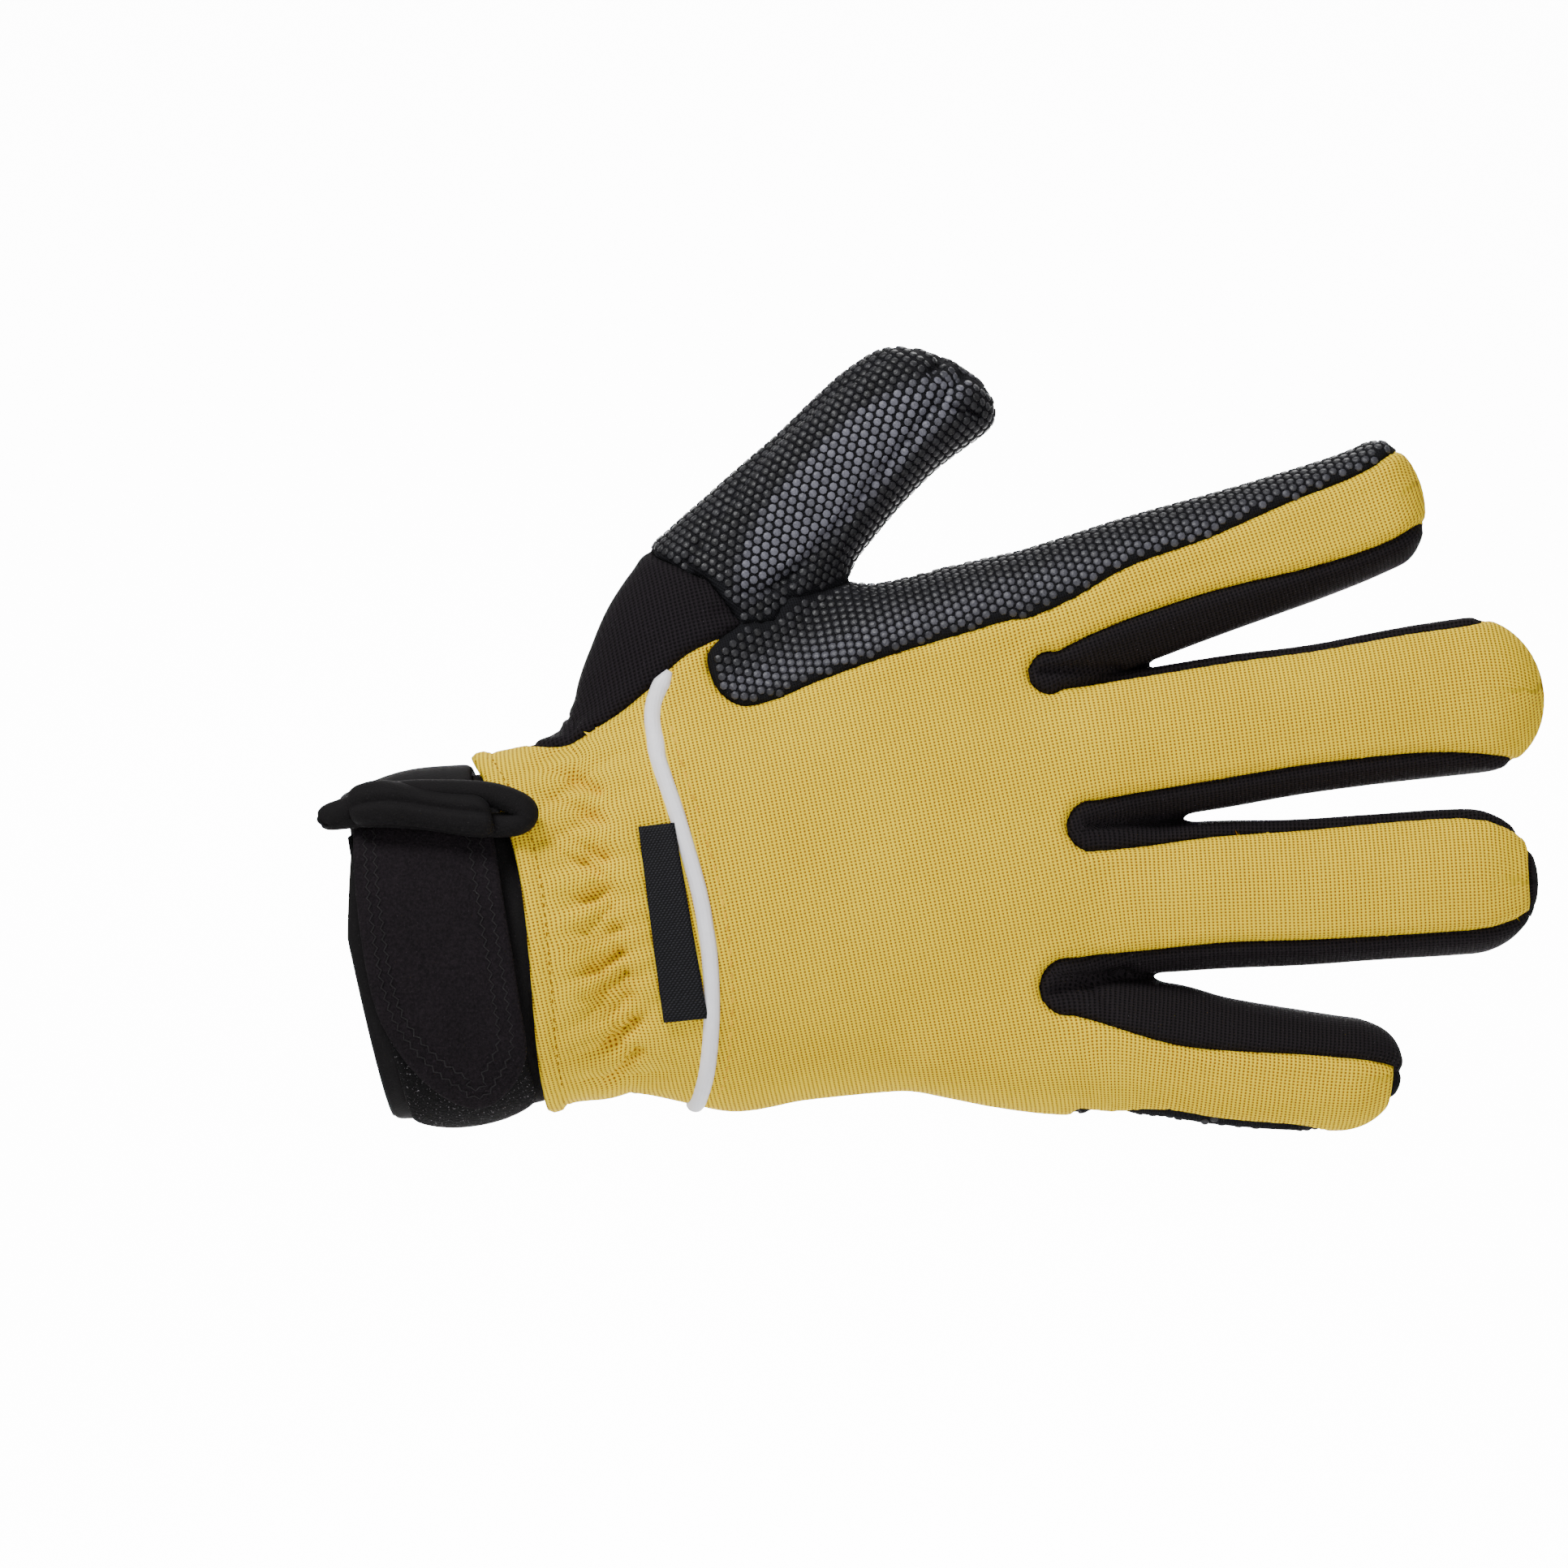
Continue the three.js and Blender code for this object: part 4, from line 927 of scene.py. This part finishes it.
def domes(name, where, normal, sides, rings, painted_light_and_tone):
    """Low rubber dots in one mesh: rings of a round cap about each point, as shares of radius and height."""
    helper = np.where(np.abs(normal[:, [2]]) < 0.8, [[0, 0, 1.0]], [[1.0, 0, 0]])
    e = unit(np.cross(helper, normal))
    f = np.cross(normal, e)
    layers = [
        ovals(where + dot_height * rise * normal, e, f, sides, dot_radius * size, dot_radius * size)
        for size, rise in rings
    ]
    body = np.concatenate([*layers, (where + dot_height * normal)[:, None]], 1)
    stride = body.shape[1]
    step = stride * np.arange(len(where))[:, None, None]
    top = np.arange(stride - 1 - sides, stride - 1)
    caps = np.stack([top, np.roll(top, -1), np.full(sides, stride - 1)], -1)
    faces = (skin(len(rings), sides) + step).reshape(-1, 4).tolist() + (caps + step).reshape(-1, 3).tolist()
    shades = {"painted_light_and_tone": np.repeat(painted_light_and_tone, stride)}
    piece(name, body.reshape(-1, 3), faces, dot_rubber, shades=shades)


rubber = Cloth("Grip dots")
scratches = rubber.noise(2400, 3)
# Painted highlight: by their tone attribute the dots go towards the pale bluish grey, broken up by the
# scratch noise; the attribute is a painted highlight plus a small random tone.
highlight_and_scratches = rubber.attribute("painted_light_and_tone") * (scratches * 1.3 + 0.4)
dot_rubber = rubber.finish(highlight_and_scratches, (0.007, 0.007, 0.0082), (0.12, 0.12, 0.148), scratches, 0.14, 0.4, 0.35)
grip_cloth = knit("Grip cloth", (0.006, 0.006, 0.008), (0.0015, 0.0015, 0.002), 0.5, 0.5, 0.85, 0.1)
panel_piece("grip_palm", "palm", grip_cloth, "palm_panel", lie_grip)
where, outward = lattice_points("palm", lie_grip(base_points))
spin = np.random.default_rng(4)
ahead, side, _ = unplace(where)
off = along_digit(digits["index"], ahead, side)[1]
# Painted highlight on the dots along the index finger's outer side, except those turned away, plus a small
# random tone on every dot.
bright = smooth(ahead, 70, 84) * bell(off - 6.5, 3.2) * (outward[:, 1] < 0.2)
bright = 0.45 * bright * spin.uniform(0.5, 1, len(where)) + 0.07 * spin.uniform(0, 1, len(where))
for name, chosen, sides, rings in (
    ("side_dots", outward[:, 1] < 0.3, 7, fine_rings),
    ("palm_dots", outward[:, 1] >= 0.3, 6, plain_rings),
):
    domes(name, where[chosen], outward[chosen], sides, rings, bright[chosen])

# The thumb: the same dotted cloth in a closed tube, with a painted highlight on the front-facing dots of an
# oval on its ball.
# It is sewn to the palm and to the gusset, and along its own two sides.


def lie_round(points):
    """Weave coordinates on the thumb, measured right round it from the middle of its back."""
    along, across, depth = unplace(points)
    reach, off = along_digit(thumb_shape, along, across)
    w, h, deep = digit_section(thumb_shape, reach)
    d = depth - deep
    near = np.abs(off) + fall_share * (d + h)
    far = 2 * (w + fall_share * h) - np.abs(off) - fall_share * (h - d)
    return np.stack([reach * thumb_shape["length"], np.sign(off) * np.where(d < 0, near, far)], -1)


panel_piece("grip_thumb", "thumb", grip_cloth, "thumb_cover", lie_round)
where, outward = lattice_points("thumb", lie_round(base_points))
ahead, side, _ = unplace(where)
reach, off = along_digit(thumb_shape, ahead, side)
# Painted highlight on the front-facing dots in an oval on the thumb's ball, plus a small random tone on
# every dot.
from_oval = np.hypot((reach - 0.69) / 0.3, (off + 1.6) / 7.4)
bright = (1 - smooth(from_oval, 0.85, 1.08)) * (outward[:, 1] < 0)
bright = bright * spin.uniform(0.5, 1, len(where)) + 0.08 * spin.uniform(0, 1, len(where))
domes("thumb_dots", where, outward, 8, fine_rings, bright)

# The thumb gusset: a wedge of plain black rib knit at the root of the thumb.
# It gives the thumb room to swing out, and is sewn between the yellow back, the thumb and the palm.
gusset_knit = knit("Gusset rib knit", (0.0095, 0.007, 0.0092), (0.0008, 0.0006, 0.001), 0.9, 0.8, 0.85, 0.3)
panel_piece("gusset_cloth", "gusset", gusset_knit, "thumb_gusset", lie)

# The finger sides: a strip of fine black knit between each two fingers.
# Each runs from one finger's side over the web to the other's, sewn to the back and to the grip cloth.
side_knit = knit("Side knit", (0.0115, 0.0087, 0.0103), (0.0008, 0.0006, 0.0008), 0.84, 0.7, 0.85, 0.3)
for number, pair in enumerate(("index_middle", "middle_ring", "ring_little")):
    name, node = f"finger_side_{number + 1}", f"fourchette_{pair}"
    panel_piece(name, f"side {number}", side_knit, node, lie)

# The cord piping: a white satin cord, sewn by its flange into the seam between the back and the wrist.
# A row of yellow top stitches runs beside it.
cord_width, cord_height, cord_points = 3.6, 3.0, 90


def rod(name, rings, material, weave, node=None):
    """A closed body through rings of points, each end shut by a fan about its middle."""
    rows, columns = rings.shape[:2]
    count = rows * columns
    quads = skin(rows, columns)
    caps = [[count, *pair] for pair in quads[:columns, [1, 0]].tolist()]
    caps += [[count + 1, *pair] for pair in quads[-columns:, [3, 2]].tolist()]
    body = np.concatenate([rings.reshape(-1, 3), rings[[0, -1]].mean(1)])
    flat = np.concatenate([weave.reshape(-1, 2), weave[[0, -1]].mean(1)])
    return piece(name, body, quads.tolist() + caps, material, node, flat)


def cord_piece(name, path, outward, wide, high, material, sides, node=None):
    """An oval rod along a path: wide across it, high along outward."""
    ahead = unit(np.gradient(path, axis=0))
    beside = unit(np.cross(ahead, outward))
    rings = ovals(path, beside, np.cross(beside, ahead), sides, wide / 2, high / 2)
    weave = np.stack(np.broadcast_arrays(run_of(path)[:, None], np.arange(sides) / sides), -1)
    rod(name, rings, material, weave, node)


satin = Cloth("Satin cord")
threads = (satin.weave()[1] * 16).wave()
slubs = satin.noise(700)
grain = threads * 0.6 + slubs * 0.5
satin_white = satin.finish(slubs, (0.95, 0.94, 0.97), (0.86, 0.85, 0.9), grain, 0.05, 0.45, 0.5)
on_back, way = line_on_back(piping_line, 0, -40.9, 46.2, cord_points)
for _ in range(4):
    on_back[1:-1] = (on_back[:-2] + 2 * on_back[1:-1] + on_back[2:]) / 4
    way[1:-1] = (way[:-2] + way[1:-1] + way[2:]) / 3
way = unit(way)
from_end = np.minimum(np.arange(cord_points), np.arange(cord_points)[::-1])
narrowed = np.sqrt(np.clip(from_end / 2, 0.15, 1))
cord_piece("satin_piping", on_back + 0.7 * way, way, cord_width * narrowed, cord_height * narrowed,
           satin_white, 18, "piping")
beside_cord, up = line_on_back(piping_line, 3.9, -38, 38)
dashes("piping_stitches", beside_cord, up, 1.5, 2.4, 0.16, thread("Yellow thread", (0.78, 0.44, 0.005)))

# The label: a black tab of twill-woven ribbon, folded and caught under the cord on the wrist side.
# It lies flat on the yellow knit, with its raw ends under the cord.
label_wide, label_long = 6.5, 38
label_corners = np.array([[54.0, 30.2], [61.0, 31.0], [67.6, -7.3], [58.9, -8.1]])


def slab(name, top, under, material, weave, slot, node):
    """A thin slab from two grids of points, closed round its rim; its faces are turned to point outwards."""
    rows, columns = top.shape[:2]
    grid = np.arange(rows * columns).reshape(rows, columns)
    quad = np.stack([grid[:-1, :-1], grid[1:, :-1], grid[1:, 1:], grid[:-1, 1:]], -1).reshape(-1, 4)
    low = quad[:, ::-1] + rows * columns
    rim = np.concatenate([grid[0, :], grid[1:, -1], grid[-1, -2::-1], grid[-2:0:-1, 0]])
    after = np.roll(rim, -1)
    wall = np.stack([rim, after, after + rows * columns, rim + rows * columns], -1)
    faces = np.concatenate([quad, low, wall])
    normal = np.cross(top[1, 0] - top[0, 0], top[0, 1] - top[0, 0])
    if normal @ (top[0, 0] - under[0, 0]) < 0:
        faces = faces[:, ::-1]
    body = np.concatenate([top.reshape(-1, 3), under.reshape(-1, 3)])
    piece(name, body, faces, material, node, np.concatenate([weave.reshape(-1, 2)] * 2))


woven = Cloth("Woven label")
u, v = woven.weave()
twill = (u * 1.6 + v * 1.1).wave() * (v * 2.2).wave()
woven_black = woven.finish(twill, (0.002, 0.002, 0.0025), (0.03, 0.03, 0.036), twill, 0.08, 0.6, 0.12)
u, v = np.meshgrid(np.linspace(0, 1, 10), np.linspace(0, 1, 34), indexing="ij")
shares = np.stack([(1 - u) * (1 - v), u * (1 - v), u * v, (1 - u) * v], -1)
flat = shares @ label_corners
hits = front(flat[..., 0].ravel(), flat[..., 1].ravel())[0].reshape(*u.shape, 3)
level = hits[..., 1]
for _ in range(12):
    level[1:-1, 1:-1] = (level[:-2, 1:-1] + level[2:, 1:-1] + level[1:-1, :-2] + level[1:-1, 2:]) / 4
under = hits - np.stack([0 * u, 0.5 + 0.25 * (1 - u), 0 * u], -1)
top = under - np.array([0, 0.5, 0])
weave = np.stack([u * label_wide, v * label_long], -1)
slab("label_tab", top, under, woven_black, weave, "woven_label", "label")

# The wrist band: a tube of neoprene under the hem, faced with fine black jersey.
# It is open at the wrist, where its rim is rounded, and sewn to the shell inside the hem.
band_length, band_low, band_high, band_deep = 37, 31.2, 36.2, 20
band_share = [-0.03, 0.4, 0.8, 1]


def band_point(along, turn, off):
    """Points round the band: a superellipse of its half widths, off millimetres outside them."""
    rows = ([0.93, 1.03, 1, 1], [0.93, 1, 0.955, 0.925], [0.98, 1, 1, 1])
    sizes = (band_low, band_high, band_deep)
    low, high, deep = (size * curve(band_share, row, along / band_length) for size, row in zip(sizes, rows))
    beside, over = (np.sign(x) * np.abs(x) ** (2 / section_power) for x in (np.cos(turn), np.sin(turn)))
    across = (high - low) / 2 + ((high + low) / 2 + off) * beside
    return place(along + 0 * turn, across, -(deep + off) * over)


def jersey(name, colour):
    """Fine black jersey over foam, or spun black thread."""
    cloth = Cloth(name)
    grain, patches = cloth.noise(3200, 3), cloth.noise(260, 3)
    dark, light = (tuple(share * c for c in colour) for share in (0.4, 1.7))
    return cloth.finish(grain * 0.6 + patches * 0.4, dark, light, grain + patches * 0.5, 0.12, 0.85, 0.2)


neoprene = jersey("Neoprene jersey", (0.0033, 0.0027, 0.0031))
rim = np.linspace(0, np.pi, 7)[1:-1]
outer, inner = np.linspace(36.4, 0.1, 26), np.linspace(0.1, 36.4, 14)
profile_along = np.concatenate([outer, 0.1 - 1.1 * np.sin(rim), inner])
profile_off = np.concatenate([0 * outer, 1.2 * np.cos(rim) - 1.2, 0 * inner - 2.4])
along_grid, turn_grid = np.meshgrid(profile_along, np.linspace(0, 2 * np.pi, 145)[:-1], indexing="ij")
off_grid = profile_off[:, None] + 0 * turn_grid
puff = 0.5 * waves(along_grid, turn_grid * 30, 8, reach=8) * (off_grid > -1)
askew = 0.2 * np.clip(band_high * np.cos(turn_grid) - 6, 0, 22) * (1 - along_grid / band_length)
body = band_point(along_grid + askew, turn_grid, off_grid + puff).reshape(-1, 3)
weave = np.stack([along_grid, turn_grid * 30], -1).reshape(-1, 2)
faces = skin(*along_grid.shape, joined=True)[:, ::-1]
piece("cuff_band", body, faces, neoprene, "wrist_band", weave)

# The strap: a flat neoprene strap, sewn to the band at the little finger's edge.
# It runs round the palm side of the wrist to the thumb edge, wrapped close on the band.
layer_gap = 0.3
strap_edges, strap_thickness = (2, 29), 2.2


def band_slab(name, turns, inside, thickness, edges, material, shape, ripple, slot, node):
    """A slab wrapped on the band, between its two edges along the band at each angle, with rounded rims."""
    rows, columns = shape
    even = (1 - np.cos(np.pi * np.linspace(0, 1, rows))) / 2
    u, v = np.meshgrid(even, 1 - (1 - np.linspace(0, 1, columns)) ** 1.6, indexing="ij")
    degrees = turns[0] + (turns[1] - turns[0]) * v
    left, right = edges(degrees)
    along_now = left + (right - left) * u
    from_rim = np.minimum(np.minimum(along_now - left, right - along_now), np.abs(turns[1] - degrees) / 2.05)
    rise = np.clip(from_rim / (0.5 * thickness + 0.5), 0, 1)
    lowered = 0.46 * thickness * (1 - np.sqrt(rise * (2 - rise)))
    level = inside + ripple * waves(along_now, degrees * 0.5, 17, reach=9)
    top, under = (
        band_point(along_now, np.radians(degrees), level + off) for off in (thickness - lowered, lowered))
    weave = np.stack([along_now, degrees * 0.5], -1)
    slab(name, top, under, material, weave, slot, node)


def straight(t):
    """Edges that stay at one distance along the band."""
    return [at + 0 * t for at in strap_edges]


band_slab("cuff_strap", (33, -150), layer_gap, strap_thickness, straight, neoprene, (22, 120), 0.15,
          "neoprene", "wrist_strap")

# The pile patch: a strip of black looped pile, stitched to the band.
# It turns in round its end, and the hook tab closes on it.
pad_middle, pad_half, pad_thickness, pad_end, pad_round = 15.5, 12.5, 1.2, 172, 17


def pad_edges(t):
    """Straight edges that turn in as a quarter of an ellipse round the patch's end."""
    half = pad_half * np.sqrt(1 - 0.985 * np.clip(1 - (pad_end - t) / pad_round, 0, 1) ** 2)
    return pad_middle - half, pad_middle + half


pile = Cloth("Loop pile")
glints = pile.noise(2200).step(0.62, 0.72)
tangle = pile.noise(1500, 4) + glints * 0.6
pile_black = pile.finish(glints, (0.0022, 0.002, 0.0022), (0.16, 0.15, 0.16), tangle, 0.35, 0.75, 0.12)
band_slab("pile_patch", (42, pad_end), layer_gap, pad_thickness, pad_edges, pile_black, (30, 110), 0,
          "pile_pad", "loop_pad")

# The tab: the strap's hook-faced end, covered with black microsuede and rounded at its tip.
# It comes down from the roll over the pile patch, and is sewn with two zigzag rows that follow its edge.
tab_start, tab_end, tab_thickness = 34, 145.5, 1.8
tab_left = [
    (34, 5.2), (60, 3.3), (84, 1.9), (97, 1.6), (109, 2.7), (125, 6.4), (137.5, 10.9), (143.5, 14.6),
    (145.5, 17.4),
]
tab_right = [
    (34, 31), (60, 31.2), (84, 30.5), (107.5, 29.4), (122, 28.8), (128, 27.9), (137.5, 24.6), (143.5, 20.6),
    (145.5, 17.8),
]


def tab_edges(t):
    """Both edges through their (angle, distance along the band) pairs."""
    return [curve([p[0] for p in table], [p[1] for p in table], t) for table in (tab_left, tab_right)]


suede = Cloth("Microsuede")
nap = suede.noise(1900, 3).step(0.25, 0.75)
cloud = nap * 0.6 + suede.noise(140, 3) * 0.4
suede_black = suede.finish(cloud, (0.0022, 0.0017, 0.0022), (0.013, 0.0094, 0.012), nap, 0.1, 0.95, 0.15)
under_tab = layer_gap + pad_thickness + layer_gap
tab_turns = tab_start, tab_end
band_slab("hook_tab", tab_turns, under_tab, tab_thickness, tab_edges, suede_black, (44, 130), 0.12,
          "felt_tab", "closure_tab")
thread_black = jersey("Black thread", (0.0135, 0.012, 0.013))
for number, (left_in, right_in, stop) in enumerate(((2.6, 2.4, 138), (4.5, 4.8, 134))):
    down = np.linspace(46, stop, 90)
    drawn_in = down + (tab_end - stop) * smooth(down, 92, stop)
    closing_in = 1 - smooth(drawn_in, 139, tab_end)
    left, right = tab_edges(drawn_in)
    row_along = np.concatenate([left + left_in * closing_in, (right - right_in * closing_in)[::-1]])
    row_turn = np.radians(np.concatenate([down, down[::-1]]))
    row = band_point(row_along, row_turn, under_tab + tab_thickness)
    outward = band_point(row_along, row_turn, 4.62) - row
    row, up = taken_at(np.arange(0, run_of(row)[-1], 1.1), row, outward)
    up = unit(up)
    beside = np.cross(unit(np.gradient(row, axis=0)), up)
    row = row + 0.4 * np.where(np.arange(len(row)) % 2, 1, -1)[:, None] * beside
    cord_piece(f"tab_stitches_{number + 1}", row, up, 0.36, 0.3, thread_black, 6)

# The roll: where the strap turns back at the thumb edge, its neoprene is rolled up soft round a ring.
# The ring is a soft rod covered in the same cloth. Its two ends stand out past the roll.
share = np.linspace(0, 1, 70)
roll_along = 5 + 27 * share
size = curve([0, 0.03, 0.1, 0.3, 0.6, 0.9, 0.97, 1], [0.55, 0.8, 0.96, 1.06, 0.98, 1, 0.86, 0.6], share)
middle = band_point(roll_along, np.radians(42.5 + 14 * share), 7.6 + 0.4 * np.sin(share * 7))
turn = 2 * np.pi * np.arange(64) / 64
valley = 1 - 0.26 * bell(turn - 1.35, 0.22) - 0.12 * bell(turn - 2.9, 0.3)
uneven = size[:, None] * valley * (1 + 0.05 * waves(roll_along[:, None], turn * 5, 31, reach=3.5))
rings = middle[:, None] + place(0 * uneven, 4.4 * np.cos(turn) * uneven, -3.8 * np.sin(turn) * uneven)
weave = np.stack(np.broadcast_arrays(roll_along[:, None], turn * 4), -1)
roll = rod("rolled_strap", rings, neoprene, weave, "strap_fold")

ring_turn = 2 * np.pi * np.arange(120) / 120
reach = np.sign(np.cos(ring_turn)) * np.abs(np.cos(ring_turn)) ** 0.8
ring_along = 19.6 + 19 * reach
half = 2.6 + 1.8 * reach
path = band_point(ring_along, np.radians(47 + 7.5 * reach), 6.4)
path = path + place(0 * reach, half * np.sin(ring_turn), -0.7 * np.sin(ring_turn))
ahead = unit(np.roll(path, -1, 0) - np.roll(path, 1, 0))
beside = unit(np.cross(ahead, place(0 * reach, 0.55 + 0 * reach, -0.83)))
thick = 2.4 + 0.12 * waves(ring_along, 0 * ring_along, 12, reach=2.5)
rings = ovals(path, beside, np.cross(beside, ahead), 20, thick, thick)
weave = np.stack(np.broadcast_arrays(np.arange(120)[:, None] * 0.8, 4 * np.pi * np.arange(20) / 20), -1)
faces = skin(120, 20, joined=True)
piece("fold_ring", rings.reshape(-1, 3), faces, neoprene, None, weave.reshape(-1, 2))

# The stage: a white paper backdrop, which runs along the floor and curves up behind the glove.
# It glows behind the glove, so that the picture is white there. Three soft lamps stand round it.
paper_white = Cloth("White paper")
sideways, deep, high = paper_white.split(paper_white.place())
off_middle = (sideways - 0.08).math("ABSOLUTE").math("MAXIMUM", (high - 0.04).math("ABSOLUTE"))
glow = (1 - off_middle.step(0.42, 0.6)) * deep.step(0.9, 1.1)
paper_white.set(
    Base_Color=(0.9, 0.9, 0.9, 1), Roughness=0.9, Emission_Strength=12,
    Emission_Color=paper_white.mix(glow, (0, 0, 0), (1, 1, 1)))
floor_level, bend_start, bend_radius, wall_top = -350, 1100, 400, 1600
bend = np.linspace(0.1, np.pi / 2, 14)
curved = zip(bend_start + bend_radius * np.sin(bend), floor_level + bend_radius * (1 - np.cos(bend)))
profile = [(-1500, floor_level), (bend_start, floor_level), *curved, (bend_start + bend_radius, wall_top)]
sheet = np.array([(x, y, z) for y, z in profile for x in (-1900, 2100)])
first = 2 * np.arange(len(profile) - 1)
faces = np.stack([first, first + 1, first + 3, first + 2], -1)
mesh_object("backdrop", sheet, faces.tolist(), paper_white.material)
glove_middle = Vector((0.095, 0, 0.035))
for name, at, size, power in (
    ("Key", (-0.4, -0.7, 1.1), 0.4, 21),
    ("Fill", (0.6, -1.3, 0.1), 0.8, 5),
    ("Back light", (0.3, 0.9, 0.9), 0.6, 5),
):
    light = bpy.data.lights.new(name, "AREA")
    light.shape, light.size, light.energy = "SQUARE", size, power
    lamp = bpy.data.objects.new(name, light)
    lamp.location = at
    lamp.rotation_euler = (glove_middle - Vector(at)).to_track_quat("-Z", "Y").to_euler()
    bpy.context.scene.collection.objects.link(lamp)
world = bpy.data.worlds.new("Studio")
world.use_nodes = True
background = world.node_tree.nodes["Background"]
background.inputs["Color"].default_value = (1, 1, 1, 1)
background.inputs["Strength"].default_value = 0.4
bpy.context.scene.world = world
lens = bpy.data.cameras.new("Camera")
lens.lens = 120
lens.sensor_width = 36
camera = bpy.data.objects.new("Camera", lens)
camera.location = (0.0824, -1.0386, 0.0385)
camera.rotation_euler = (np.pi / 2, 0, 0)
bpy.context.scene.collection.objects.link(camera)
bpy.context.scene.camera = camera
